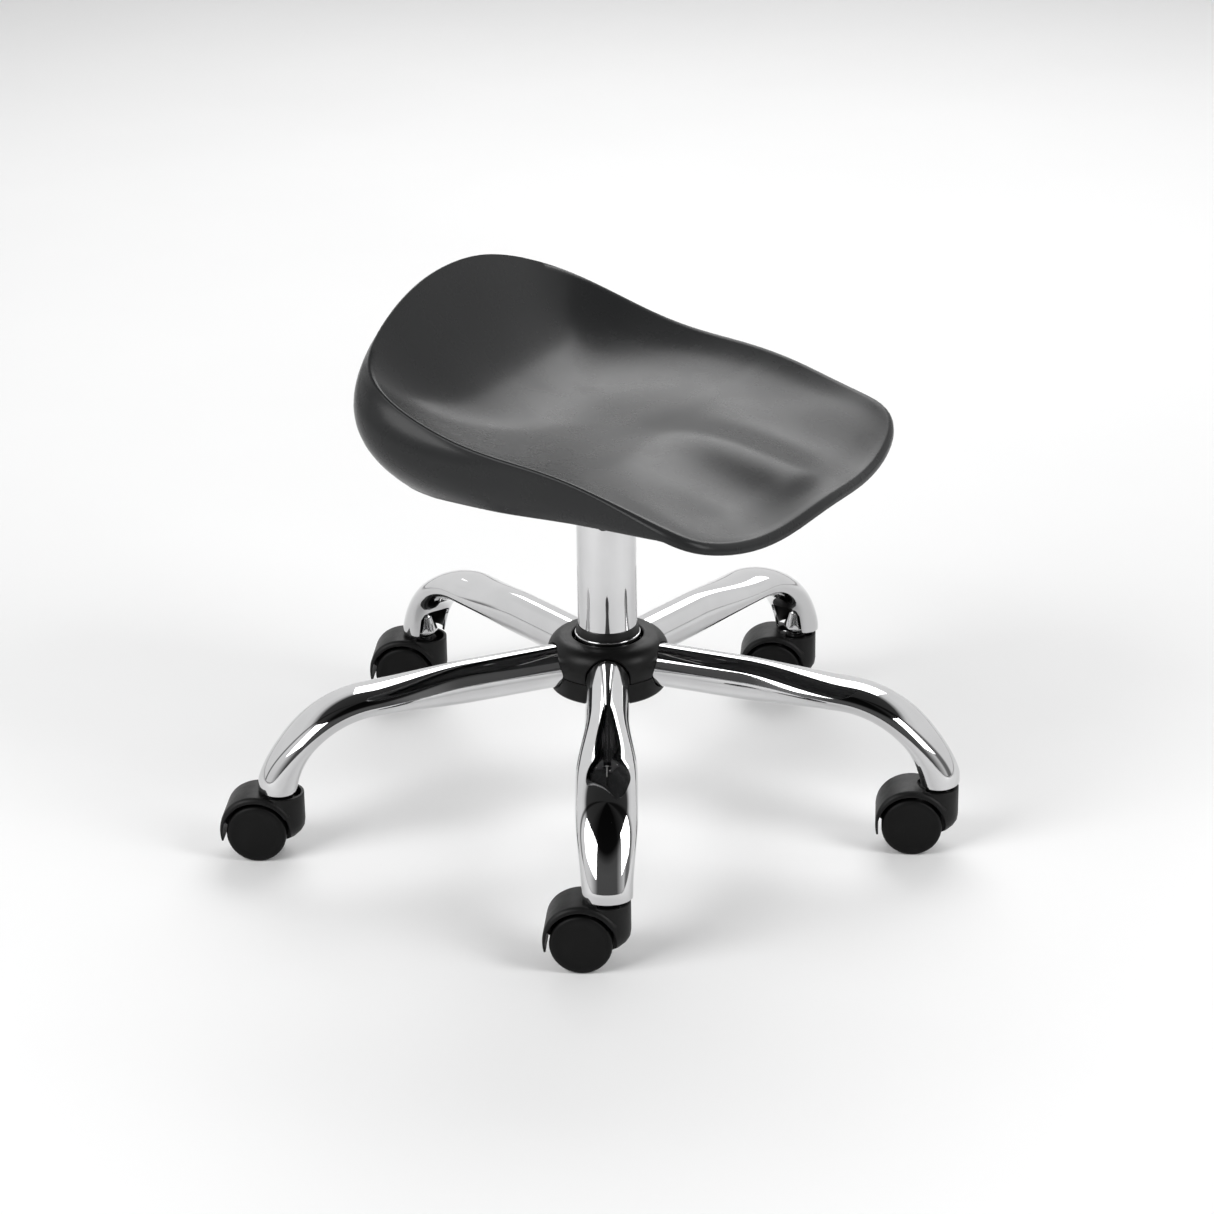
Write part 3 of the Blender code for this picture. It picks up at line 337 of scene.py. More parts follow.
def finish(name, dark, light, rough, metallic, grain, relief, patch=14.0, specular=0.5, coat=0.0):
    """A material with drifting colour, drifting roughness and two scales of relief."""
    material = bpy.data.materials.new(name)
    material.use_nodes = True
    tree = material.node_tree
    shader = tree.nodes["Principled BSDF"]
    shader.inputs["Metallic"].default_value = metallic
    shader.inputs["Specular IOR Level"].default_value = specular
    shader.inputs["Coat Weight"].default_value = coat
    shader.inputs["Coat Roughness"].default_value = 0.12
    drift = noise(tree, patch, 3.0)
    fine = noise(tree, grain, 5.0, 0.6)
    tree.links.new(tint(tree, spread(tree, drift, 0.0, 1.0), dark, light), shader.inputs["Base Color"])
    tree.links.new(spread(tree, noise(tree, patch * 3, 6.0, 0.65), *rough), shader.inputs["Roughness"])
    layers = [(drift, relief[0], 0.002), (fine, relief[1], 0.0003)]
    tree.links.new(bumps(tree, layers), shader.inputs["Normal"])
    return material


def make_materials():
    return {
        "shell_moulding": finish(
            "seat_plastic",
            dark=(0.020, 0.0205, 0.021), light=(0.024, 0.0245, 0.025),
            rough=(0.24, 0.30), metallic=0.0, grain=1400,
            relief=(0.004, 0.012), patch=9.0, specular=0.15,
        ),
        "chrome_tube": finish(
            "tube_chrome",
            dark=(0.60, 0.60, 0.605), light=(0.65, 0.65, 0.655),
            rough=(0.03, 0.055), metallic=1.0, grain=900,
            relief=(0.012, 0.006), patch=22.0,
        ),
        "chrome_fitting": finish(
            "fitting_chrome",
            dark=(0.58, 0.58, 0.585), light=(0.66, 0.66, 0.665),
            rough=(0.08, 0.14), metallic=1.0, grain=1500,
            relief=(0.005, 0.01), patch=40.0,
        ),
        "cover_moulding": finish(
            "cover_plastic",
            dark=(0.003, 0.003, 0.003), light=(0.005, 0.005, 0.005),
            rough=(0.34, 0.46), metallic=0.0, grain=2200,
            relief=(0.02, 0.10), patch=30.0, specular=0.18,
        ),
        "castor_moulding": finish(
            "castor_plastic",
            dark=(0.004, 0.004, 0.004), light=(0.007, 0.007, 0.007),
            rough=(0.38, 0.5), metallic=0.0, grain=2600,
            relief=(0.02, 0.16), patch=40.0, specular=0.2,
        ),
        "wheel_moulding": finish(
            "wheel_plastic",
            dark=(0.003, 0.003, 0.003), light=(0.005, 0.005, 0.005),
            rough=(0.40, 0.52), metallic=0.0, grain=2600,
            relief=(0.02, 0.12), patch=40.0, specular=0.15,
        ),
        "black_nylon": finish(
            "nylon",
            dark=(0.004, 0.004, 0.004), light=(0.007, 0.007, 0.007),
            rough=(0.40, 0.55), metallic=0.0, grain=2400,
            relief=(0.02, 0.12), patch=40.0, specular=0.3,
        ),
        "plain_steel": finish(
            "zinc_steel",
            dark=(0.42, 0.42, 0.41), light=(0.52, 0.52, 0.51),
            rough=(0.26, 0.40), metallic=1.0, grain=1800,
            relief=(0.02, 0.10), patch=60.0,
        ),
        "black_steel": finish(
            "enamelled_steel",
            dark=(0.012, 0.012, 0.013), light=(0.018, 0.018, 0.019),
            rough=(0.30, 0.42), metallic=0.0, grain=1200,
            relief=(0.03, 0.15), patch=30.0,
        ),
        "tube_inside": finish(
            "bare_tube",
            dark=(0.020, 0.019, 0.018), light=(0.045, 0.043, 0.041),
            rough=(0.35, 0.5), metallic=0.6, grain=1500,
            relief=(0.02, 0.12), patch=50.0,
        ),
        "bumper_rubber": finish(
            "rubber",
            dark=(0.012, 0.012, 0.012), light=(0.02, 0.02, 0.02),
            rough=(0.70, 0.85), metallic=0.0, grain=1600,
            relief=(0.02, 0.2), patch=30.0,
        ),
    }


# ---------------------------------------------------------------- the frame's places


class Places:
    """Where the frame's joints put the pieces."""

    def __init__(self, frame):
        joints = {joint["name"]: joint for joint in frame["joints"]}
        self.axis = Vector(joints["seat_swivel"]["pos_m"])
        self.axis.z = 0.0
        self.lever = Vector(joints["lever_tilt"]["pos_m"])
        prefix = "castor_swivel_"
        self.arms = [name[len(prefix) :] for name in joints if name.startswith(prefix)]
        self.stems = {}
        self.wheels = {}
        for name in self.arms:
            stem = Vector(joints[prefix + name]["pos_m"])
            self.stems[name] = Vector((stem.x, stem.y, 0.0))
            self.wheels[name] = Vector(joints[f"wheel_left_roll_{name}"]["pos_m"])
        self.wheel_axis = Vector(joints[f"wheel_left_roll_{self.arms[0]}"]["axis"])

    def arm_yaw(self, name):
        out = self.stems[name] - self.axis
        return math.atan2(out.y, out.x)

    def trail(self):
        return (self.wheels[self.arms[0]] - self.stems[self.arms[0]]).xy.length

    def castor_yaw(self):
        back = self.wheels[self.arms[0]] - self.stems[self.arms[0]]
        return math.atan2(back.y, back.x)


def place(item, location, yaw=0.0):
    item.matrix_world = Matrix.Translation(location) @ Matrix.Rotation(yaw, 4, "Z")
    return item


def fit(item, body, slot, *nodes):
    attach(item, body)
    if nodes:
        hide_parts(*nodes)
    return item


# ---------------------------------------------------------------- seat


def outline_point(angle):
    """(x, y, heading) of the seat's outline in plan: a squared oval with bowed ends."""
    turn = angle + OUTLINE_WARP * math.sin(angle)
    along, across = math.cos(turn), math.sin(turn)
    if along > 0:
        square, reach, bow, flare = FRONT_SQUARE, SEAT_FRONT - SEAT_WIDEST, FRONT_BOW, FRONT_FLARE
    else:
        square, reach, bow, flare = REAR_SQUARE, SEAT_WIDEST + SEAT_REAR, REAR_BOW, REAR_FLARE
    radius = ((abs(along) / reach) ** square + (abs(across) / SEAT_HALF_WIDTH) ** square) ** (-1 / square)
    share = abs(along) * radius / reach
    y = radius * across * (1 + flare * share**2)
    x = SEAT_WIDEST + math.copysign(share * (reach - bow * (y / SEAT_HALF_WIDTH) ** 2), along)
    heading = math.atan2(y / SEAT_HALF_WIDTH, (x - SEAT_CENTRE) / HEADING_LENGTH)
    return x, y, heading


def rim_height(heading):
    return sum(wave * math.cos(order * heading) for order, wave in enumerate(RIM_WAVES))


def pan_height(x, y):
    """The seat's surface inside its rim: level, then falling, with a pommel between two leg hollows."""
    fall = PAN_FALL * max((x - PAN_FALL_START) / PAN_FALL_LENGTH, 0.0) ** PAN_FALL_POWER
    edge = 1 - smooth_step(x, RELIEF_FADE_START, RELIEF_FADE_END)
    pommel = smooth_step(x, SEAT_CENTRE, POMMEL_PEAK) * math.exp(-((y / POMMEL_HALF_WIDTH) ** 2))
    aside = (abs(y) - HOLLOW_OFFSET) / HOLLOW_HALF_WIDTH
    hollow = smooth_step(x, HOLLOW_START, HOLLOW_PEAK) * math.exp(-(aside**2))
    return PAN_Z - fall + edge * (POMMEL_HEIGHT * pommel - HOLLOW_DEPTH * hollow)


def surface_point(share, angle):
    """A point on the seat's top, for share 0 at the centre to 1 at the rim."""
    rim_x, rim_y, heading = outline_point(angle)
    x = blend(SEAT_CENTRE, rim_x, share)
    y = share * rim_y
    turn_up = rim_height(heading) - pan_height(rim_x, rim_y)
    return Vector((x, y, pan_height(x, y) + turn_up * share**PAN_STEEP))


def height_at(x, y):
    """Height of the seat's top over a place in plan."""
    heading = math.atan2(y, x - SEAT_CENTRE)

    def miss(angle):
        rim_x, rim_y, _ = outline_point(angle)
        return abs(math.remainder(math.atan2(rim_y, rim_x - SEAT_CENTRE) - heading, TAU))

    angle = min((TAU * step / 720 for step in range(720)), key=miss)
    rim_x, rim_y, _ = outline_point(angle)
    return surface_point(math.hypot(x - SEAT_CENTRE, y) / math.hypot(rim_x - SEAT_CENTRE, rim_y), angle).z


def outward(angle):
    step = 0.002
    along = Vector(outline_point(angle + step)[:2]) - Vector(outline_point(angle - step)[:2])
    return Vector((along.y, -along.x, 0.0)).normalized()


def skirt_point(share, angle, inset):
    """A point on the skirt's face, from the rolled rim at share 0 to the lower edge at share 1."""
    rim_x, rim_y, heading = outline_point(angle)
    rim_z = rim_height(heading)
    depth = max(rim_z - SKIRT_Z - SKIRT_SLOPE * max(rim_x + 75 * MM, 0.0), LIP_DEPTH)
    front, rear = max(math.cos(heading), 0.0), max(-math.cos(heading), 0.0)
    at_rear = smooth_step(rear, 0.0, 0.8)
    bulge = (SKIRT_BULGE + SKIRT_REAR_BULGE * at_rear) * (1 - smooth_step(front, 0.0, 0.6))
    tuck = (SKIRT_TUCK + SKIRT_REAR_TUCK * at_rear) * (1 - smooth_step(front, 0.2, 0.7))
    edge = Vector((rim_x, rim_y, blend(rim_z - rim_round(heading), rim_z - depth, share)))
    inward = Vector((SEAT_CENTRE - rim_x, -rim_y, 0.0)).normalized() * tuck * share**3.3
    return edge + outward(angle) * (bulge * math.sin(math.pi * share**0.8) - inset) + inward


def rim_round(heading):
    """Radius of the rolled rim: small round the sides and back, large along the front."""
    return blend(RIM_ROUND, FRONT_ROUND, smooth_step(math.cos(heading), 0.3, 0.75))


def rim_arc(angle, turn):
    """A point on the rolled rim: turn runs from 0 on top to a quarter turn at the outer face."""
    edge = surface_point(1.0, angle)
    radius = rim_round(outline_point(angle)[2])
    across = outward(angle) * radius * (math.sin(turn) - 1)
    return edge + across + Vector((0.0, 0.0, -radius * (1 - math.cos(turn))))


def seat_rows(angle):
    """One section of the shell, from the middle of its top round the rim to the middle underneath."""
    edge = rim_arc(angle, 0.0)
    rows = []
    for share in seat_shares():
        point = surface_point(share, angle)
        pull = smooth_step(share, 0.8, 1.0)
        rows.append(point + (edge - surface_point(1.0, angle)) * pull)
    rows += [rim_arc(angle, math.pi / 2 * step / 5) for step in range(1, 5)]
    rows += [skirt_point(step / 18, angle, 0.0) for step in range(19)]
    foot = skirt_point(1.0, angle, 0.0)
    for step in range(1, 4):
        turn = math.pi * step / 4
        reach = SKIRT_WALL / 2 * (1 - math.cos(turn))
        rows.append(foot - outward(angle) * reach + Vector((0.0, 0.0, -1.1 * MM * math.sin(turn))))
    top = surface_point(1.0, angle).z
    for share in (1.0, 0.85, 0.7, 0.55, 0.4, 0.25):
        point = skirt_point(share, angle, SKIRT_WALL)
        point.z = min(point.z, top - LIP_DEPTH + (1 - share) * 3 * MM)
        rows.append(point)
    for share in (0.9, 0.84, 0.76, 0.66, 0.55, 0.4, 0.2):
        rows.append(surface_point(share, angle) - Vector((0.0, 0.0, SHELL_WALL)))
    return rows


def seat_shares():
    return [0.04 * step for step in range(1, 20)] + [0.76 + 0.02 * step for step in range(1, 13)]


def build_seat(places, materials):
    sectors = 216
    shape = bmesh.new()
    columns = []
    for step in range(sectors):
        angle = TAU * (step + 0.5) / sectors
        columns.append([shape.verts.new(point) for point in seat_rows(angle)])
    rings = [list(ring) for ring in zip(*columns)]
    skin(shape, rings)
    top = Vector((SEAT_CENTRE, 0.0, pan_height(SEAT_CENTRE, 0.0)))
    for ring, point in ((rings[0], top), (rings[-1], top - Vector((0.0, 0.0, SHELL_WALL)))):
        middle = shape.verts.new(point)
        for step in range(sectors):
            shape.faces.new((middle, ring[step], ring[(step + 1) % sectors]))
    seat = mesh_object("seat_shell_moulding", shape, materials["shell_moulding"], 60.0)
    place(seat, places.axis, SEAT_YAW)
    fit(seat, "seat", "shell_moulding", "seat_shell")
    build_bosses(places, materials)


def build_bosses(places, materials):
    """Screw bosses that stand on the shell's underside round each screw."""
    plate_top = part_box("seat_plate")[1].z
    for index in range(1, 5):
        low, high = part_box(f"seat_screw_{index}")
        centre = (low + high) / 2
        local = Matrix.Rotation(-SEAT_YAW, 4, "Z") @ (Vector((centre.x, centre.y, 0.0)) - places.axis)
        top = height_at(local.x, local.y) - SHELL_WALL / 2
        foot = plate_top + 0.3 * MM
        bore = 3.3 * MM
        profile = [(bore, foot), (7.4 * MM, foot), (8 * MM, foot + 0.6 * MM), (8 * MM, top), (bore, top)]
        boss = mesh_object(f"seat_boss_{index}", lathe(profile, 40), materials["shell_moulding"])
        place(boss, Vector((centre.x, centre.y, 0.0)))
        fit(boss, "seat", "shell_moulding")


# ---------------------------------------------------------------- base


def arm_station(along):
    """(centre r, centre z, angle below level) at a distance along the tube."""
    straight = (ARM_BEND_START - ARM_START) / math.cos(ARM_SLOPE)
    if along <= straight:
        return ARM_START + along * math.cos(ARM_SLOPE), ARM_Z - along * math.sin(ARM_SLOPE), ARM_SLOPE
    angle = ARM_SLOPE + (along - straight) / ARM_BEND_RADIUS
    turn_r = ARM_BEND_START - ARM_BEND_RADIUS * math.sin(ARM_SLOPE)
    turn_z = ARM_Z - straight * math.sin(ARM_SLOPE) - ARM_BEND_RADIUS * math.cos(ARM_SLOPE)
    return turn_r + ARM_BEND_RADIUS * math.sin(angle), turn_z + ARM_BEND_RADIUS * math.cos(angle), angle


def arm_distance(angle):
    """Distance along the tube at which the bend reaches an angle."""
    straight = (ARM_BEND_START - ARM_START) / math.cos(ARM_SLOPE)
    return straight + ARM_BEND_RADIUS * (angle - ARM_SLOPE)


def arm_size(radius_out, angle):
    flat = smooth_step(radius_out, 120 * MM, 212 * MM)
    tip = smooth_step(angle, math.radians(35), ARM_BEND_ANGLE)
    width = blend(blend(ARM_TUBE, ARM_OVAL_WIDTH, flat), ARM_END_WIDTH, tip)
    height = blend(blend(ARM_TUBE, ARM_OVAL_HEIGHT, flat), ARM_END_DEPTH, tip**2)
    return width, height


def arm_point(along, turn, inset=0.0):
    r, z, angle = arm_station(along)
    width, height = arm_size(r, angle)
    across = (width - inset) * math.cos(turn)
    upward = (height - inset) * math.sin(turn)
    return Vector((r + upward * math.sin(angle), across, z + upward * math.cos(angle)))


def arm_grid():
    """Tube columns as (turn, row distances): those in the tip's opening stop at its arch."""
    end = arm_distance(ARM_BEND_ANGLE)
    common = arm_distance(WINDOW_TOP) - 8 * MM
    spring = arm_distance(WINDOW_SPRING)
    open_columns = 16
    shut_columns = 44
    columns = []
    for step in range(open_columns + 1):
        share = 2 * step / open_columns - 1
        columns.append((-math.pi / 2 + share * WINDOW_HALF_ANGLE, abs(share) < 1, abs(share)))
    sweep = TAU - 2 * WINDOW_HALF_ANGLE
    for step in range(1, shut_columns):
        turn = -math.pi / 2 + WINDOW_HALF_ANGLE + sweep * step / shut_columns
        columns.append((turn, False, 1.0))
    grid = []
    for turn, opened, share in columns:
        stop = blend(arm_distance(WINDOW_TOP), spring, 1 - math.sqrt(max(1 - share**2, 0.0)))
        rows = [common * step / 52 for step in range(53)]
        rows += [blend(common, stop, step / 10) for step in range(1, 11)]
        if not opened:
            rows += [blend(spring, end, step / 14) for step in range(1, 15)]
        grid.append((turn, rows))
    return grid


def build_arm(name, places, materials):
    shape = bmesh.new()
    tip = arm_distance(ARM_BEND_ANGLE)
    columns = []
    for turn, rows in arm_grid():
        column = []
        for along in rows:
            point = arm_point(along, turn)
            if along == 0.0:
                point.x = ARM_START
            if along >= tip - 1e-6:
                point.z = ARM_END_Z
            column.append(shape.verts.new(point))
        columns.append(column)
    count = len(columns)
    for index in range(count):
        left, right = columns[index], columns[(index + 1) % count]
        for low, high in zip(zip(left, left[1:]), zip(right, right[1:])):
            shape.faces.new((low[0], high[0], high[1], low[1]))
    bmesh.ops.recalc_face_normals(shape, faces=shape.faces)
    arm = mesh_object(f"arm_tube_{name}", shape, materials["chrome_tube"], 50.0)
    wall = arm.modifiers.new("wall", "SOLIDIFY")
    wall.thickness = ARM_WALL
    wall.offset = -1.0
    wall.use_even_offset = True
    arm.data.materials.append(materials["tube_inside"])
    wall.material_offset = 1
    soften_edges(arm, 0.55 * MM, 50.0, 2)
    apply_modifiers(arm)
    place(arm, places.axis, places.arm_yaw(name))
    fit(arm, "base", "chrome_tube", f"arm_{name}")


def build_stem(name, places, materials):
    """The crimped cone in the arm's tip, and the castor's stem with its round head."""
    bore = STEM_RADIUS + 0.3 * MM
    cone = [(bore, 61.4 * MM), (9.4 * MM, 61.0 * MM), (10.2 * MM, 61.6 * MM), (10.1 * MM, 63.6 * MM)]
    cone += [(9.2 * MM, 66.2 * MM), (8.2 * MM, 70.5 * MM), (7.2 * MM, 74.6 * MM), (6.8 * MM, 76.6 * MM)]
    cone += [(6.5 * MM, 77 * MM), (bore, 77 * MM)]

    def crimp(turn, height):
        return 0.45 * MM * math.cos(6 * turn) * smooth_step(66 * MM - height, 0.0, 4 * MM)

    socket = mesh_object(f"socket_cone_{name}", lathe(cone, 60, crimp), materials["chrome_fitting"])
    place(socket, places.stems[name], places.arm_yaw(name))
    fit(socket, "base", "chrome_fitting", f"castor_socket_{name}")
    stem = [(0.0, 36.4 * MM), (STEM_RADIUS - 0.2 * MM, 36.4 * MM), (STEM_RADIUS - 0.2 * MM, 58.2 * MM)]
    stem += [(8.2 * MM, 58.4 * MM), (8.6 * MM, 58.8 * MM), (8.6 * MM, 60.4 * MM), (8.2 * MM, 60.8 * MM)]
    stem += [(STEM_RADIUS, 60.9 * MM), (STEM_RADIUS, 77.4 * MM), (4.3 * MM, 78.0 * MM)]
    stem += arc((0.0, 81 * MM), 5 * MM, -30, 90, 9)[:-1] + [(0.0, 86 * MM)]
    rod = mesh_object(f"stem_rod_{name}", lathe(stem, 36), materials["chrome_fitting"])
    place(rod, places.stems[name])
    fit(rod, "base", "chrome_fitting", f"castor_stem_{name}")


def cover_profile():
    """(radius, height) down the upper cover: a soft bead at the mouth, a dome and the side."""
    points = [(COVER_MOUTH, 156 * MM)]
    points += arc((31.6 * MM, 156.8 * MM), 1.6 * MM, 165, 75, 5)
    points += [(34 * MM, 158.2 * MM), (36.5 * MM, 157.9 * MM)]
    points += arc((36.8 * MM, 143.8 * MM), 14.1 * MM, 88, 4, 20)
    points += [(50.8 * MM, 141 * MM), (50 * MM, 136 * MM), (49 * MM, 132 * MM)]
    points.append((48.6 * MM, COVER_SEAM_Z + 0.3 * MM))
    return points


def resampled(points, step):
    """The same line with a point at least every step."""
    fine = [points[0]]
    for here, after in zip(points, points[1:]):
        length = math.dist(here, after)
        count = max(1, math.ceil(length / step))
        for index in range(1, count + 1):
            fine.append((blend(here[0], after[0], index / count), blend(here[1], after[1], index / count)))
    return fine


def arch_gap(radius, height, angle, radius_of_arch):
    """How far a point of a cover is outside the nearest arm's arch."""
    return math.hypot(radius * math.sin(angle), height - ARCH_Z) - radius_of_arch


def cover_angles(arm_angles):
    """(angle, angle from the nearest arm): close together by the arches' sides."""
    sector = TAU / len(arm_angles)
    edge = math.asin(ARCH_RADIUS / (49 * MM))
    offsets = [edge * math.sin(math.pi / 2 * step / 18) for step in range(-18, 19)]
    rest = sector - 2 * edge
    offsets += [edge + rest * (1 - math.cos(math.pi * step / 16)) / 2 for step in range(1, 16)]
    angles = []
    for start in sorted(arm_angles):
        for offset in offsets:
            local = offset if offset <= sector / 2 else offset - sector
            angles.append((start + offset, local))
    return angles


def cut_column(points, local, radius_of_arch):
    """The stretch of a cover's profile above the arch at this angle."""
    if abs(local) > math.pi / 4:
        return points
    kept = [points[0]]
    for here, after in zip(points, points[1:]):
        gap = arch_gap(*after, local, radius_of_arch)
        if gap < 0:
            before = arch_gap(*here, local, radius_of_arch)
            share = before / (before - gap)
            kept.append((blend(here[0], after[0], share), blend(here[1], after[1], share)))
            break
        kept.append(after)
    return kept


def even_rows(points, count):
    """The line as count points at even distances."""
    lengths = [0.0]
    for here, after in zip(points, points[1:]):
        lengths.append(lengths[-1] + math.dist(here, after))
    rows = []
    index = 0
    for step in range(count):
        target = lengths[-1] * step / (count - 1)
        while index < len(points) - 2 and lengths[index + 1] < target:
            index += 1
        span = max(lengths[index + 1] - lengths[index], 1e-9)
        share = min(max((target - lengths[index]) / span, 0.0), 1.0)
        rows.append(tuple(blend(a, b, share) for a, b in zip(points[index], points[index + 1])))
    return rows


def build_cover(name, profile, rows, places, materials):
    """A thin turned cover with an arch cut over each arm."""
    arm_angles = [places.arm_yaw(arm) for arm in places.arms]
    fine = resampled(profile, 0.4 * MM)
    shape = bmesh.new()
    columns = []
    for angle, local in cover_angles(arm_angles):
        line = even_rows(cut_column(fine, local, ARCH_RADIUS), rows)
        column = [shape.verts.new((r * math.cos(angle), r * math.sin(angle), z)) for r, z in line]
        columns.append(column)
    skin(shape, [list(ring) for ring in zip(*columns)])
    cover = mesh_object(name, shape, materials["cover_moulding"], 60.0)
    wall = cover.modifiers.new("wall", "SOLIDIFY")
    wall.thickness = COVER_WALL
    wall.offset = -1.0
    soften_edges(cover, 0.5 * MM, 50.0, 2)
    apply_modifiers(cover)
    place(cover, places.axis)
    return cover


def build_hub(places, materials):
    top = build_cover("hub_cover_upper", cover_profile(), 44, places, materials)
    fit(top, "base", "cover_moulding", "hub_cover_top")
    low = [(COVER_LOWER, COVER_SEAM_Z), (COVER_LOWER, 124 * MM), (COVER_LOWER, 118 * MM)]
    low += arc((COVER_LOWER - 3 * MM, COVER_BOTTOM_Z + 3 * MM), 3 * MM, 0, -90, 6)
    low += [(30 * MM, COVER_BOTTOM_Z), (12.5 * MM, COVER_BOTTOM_Z)]
    bottom = build_lower_cover("hub_cover_lower", low, places, materials)
    fit(bottom, "base", "cover_moulding", "hub_cover_bottom")
    low_z, high_z = (corner.z for corner in (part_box("hub_tube")))
    ring = [(25.5 * MM, low_z), (27.8 * MM, low_z), (27.8 * MM, high_z - 0.8 * MM)]
    ring += arc((27 * MM, high_z - 0.8 * MM), 0.8 * MM, 0, 90, 4)
    ring += arc((26.3 * MM, high_z - 0.8 * MM), 0.8 * MM, 90, 180, 4)
    hub = mesh_object("hub_ring", lathe(ring, 96), materials["chrome_tube"])
    place(hub, places.axis)
    fit(hub, "base", "chrome_tube", "hub_tube")
    low_z, high_z = (corner.z for corner in (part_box("column_collar")))
    collar = [(25.2 * MM, low_z - 3 * MM), (26.9 * MM, low_z)]
    collar += [(26.8 * MM, low_z + 1 * MM), (26.4 * MM, high_z - 1 * MM)]
    collar += [(25.9 * MM, high_z), (25.2 * MM, high_z)]
    band = mesh_object("column_collar_ring", lathe(collar, 96), materials["black_nylon"])
    place(band, places.axis)
    fit(band, "base", "black_nylon", "column_collar")


def build_lower_cover(name, profile, places, materials):
    """The lower dish. Its side is cut by the arms and its floor is whole."""
    floor_side = resampled(profile, 0.5 * MM)
    outer = lathe(closed_dish(floor_side), 180)
    item = mesh_object(name, outer, materials["cover_moulding"], 40.0)
    cutters = []
    for arm in places.arms:
        rod = lathe([(0.0, 20 * MM), (ARCH_RADIUS, 20 * MM), (ARCH_RADIUS, 80 * MM), (0.0, 80 * MM)], 72)
        turned(rod, Matrix.Translation((0.0, 0.0, ARCH_Z)) @ Matrix.Rotation(math.pi / 2, 4, "Y"))
        turned(rod, Matrix.Rotation(places.arm_yaw(arm), 4, "Z"))
        cutters.append(("DIFFERENCE", mesh_object(f"cut_{arm}", rod, None)))
    combine(item, cutters)
    place(item, places.axis)
    return item


def closed_dish(line):
    """Gives a thin dish's outer line its inner face."""
    inner = []
    for radius, height in reversed(line):
        inner.append((min(radius, COVER_LOWER - COVER_WALL), max(height, COVER_BOTTOM_Z + COVER_WALL)))
    unique = list(dict.fromkeys(inner))
    return line + unique


def build_column(places, materials):
    low, high = (corner.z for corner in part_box("column_tube"))
    outer, inner = 25 * MM, 23.2 * MM
    edge = 0.6 * MM
    tube = [(6 * MM, 125.5 * MM), (inner, 125.5 * MM), (inner, low), (outer, low), (outer, high - edge)]
    tube += arc((outer - edge, high - edge), edge, 0, 90, 4)[1:]
    tube += [(inner, high), (inner, 129.5 * MM), (6 * MM, 129.5 * MM)]
    column = mesh_object("column_chrome", lathe(tube, 128), materials["chrome_tube"])
    fit(place(column, places.axis), "base", "chrome_tube", "column_tube")
    low, high = (corner.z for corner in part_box("guide_bush"))
    bore = 14.3 * MM
    bush = [(bore, low), (inner - 0.3 * MM, low), (inner - 0.3 * MM, 285.3 * MM), (24.6 * MM, 285.3 * MM)]
    bush += [(24.8 * MM, 286 * MM), (24.6 * MM, 287.4 * MM), (23.6 * MM, 288.2 * MM), (bore + 1 * MM, high)]
    bush += [(bore, high - 0.5 * MM)]
    guide = mesh_object("guide_bush_ring", lathe(bush, 96), materials["black_nylon"])
    fit(place(guide, places.axis), "base", "black_nylon", "guide_bush")


def build_lift(places, materials):
    low, high = (corner.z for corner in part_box("gas_cylinder"))
    body = [(0.0, 290 * MM), (11.6 * MM, 290 * MM), (11.6 * MM, low)]
    body += [(13.4 * MM, low), (14 * MM, low + 0.8 * MM)]
    body += [(14 * MM, 296 * MM), (13.2 * MM, high - 0.6 * MM), (12.8 * MM, high), (3.8 * MM, high)]
    body += [(3.8 * MM, 312 * MM), (0.0, 312 * MM)]
    cylinder = mesh_object("gas_cylinder_body", lathe(body, 80), materials["black_steel"])
    fit(place(cylinder, places.axis), "seat", "black_steel", "gas_cylinder")
    low, high = (corner.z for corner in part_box("taper_socket"))
    cup = [(14.4 * MM, low), (20 * MM, low), (21 * MM, low + 1 * MM), (21 * MM, high), (13.6 * MM, high)]
    cup += [(13.6 * MM, 325.5 * MM), (14.4 * MM, 296 * MM)]
    socket = mesh_object("taper_socket_cup", lathe(cup, 80), materials["black_steel"])
    fit(place(socket, places.axis), "seat", "black_steel", "taper_socket")


def build_screws(materials):
    """Domed screw heads with a hexagon drive."""
    for index in range(1, 5):
        low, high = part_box(f"seat_screw_{index}")
        centre = (low + high) / 2
        crown = low.z
        dome = [(0.0, crown), (2.2 * MM, crown + 0.1 * MM)]
        dome += [(4.2 * MM, crown + 0.8 * MM), (5.3 * MM, crown + 2 * MM)]
        dome += [(5.6 * MM, crown + 3.1 * MM), (5.4 * MM, crown + 3.4 * MM), (2.9 * MM, crown + 3.4 * MM)]
        dome += [(2.9 * MM, high.z - 0.8 * MM), (2.2 * MM, high.z), (0.0, high.z)]
        head = mesh_object(f"screw_{index}", lathe(dome, 40), materials["plain_steel"])
        socket = [(0.0, crown - 1 * MM), (1.9 * MM, crown - 1 * MM)]
        socket += [(1.9 * MM, crown + 2 * MM), (0.0, crown + 2 * MM)]
        drive = lathe(socket, 6)
        combine(head, [("DIFFERENCE", mesh_object(f"cut_drive_{index}", drive, None))])
        place(head, Vector((centre.x, centre.y, 0.0)))
        fit(head, "seat", "plain_steel", f"seat_screw_{index}")


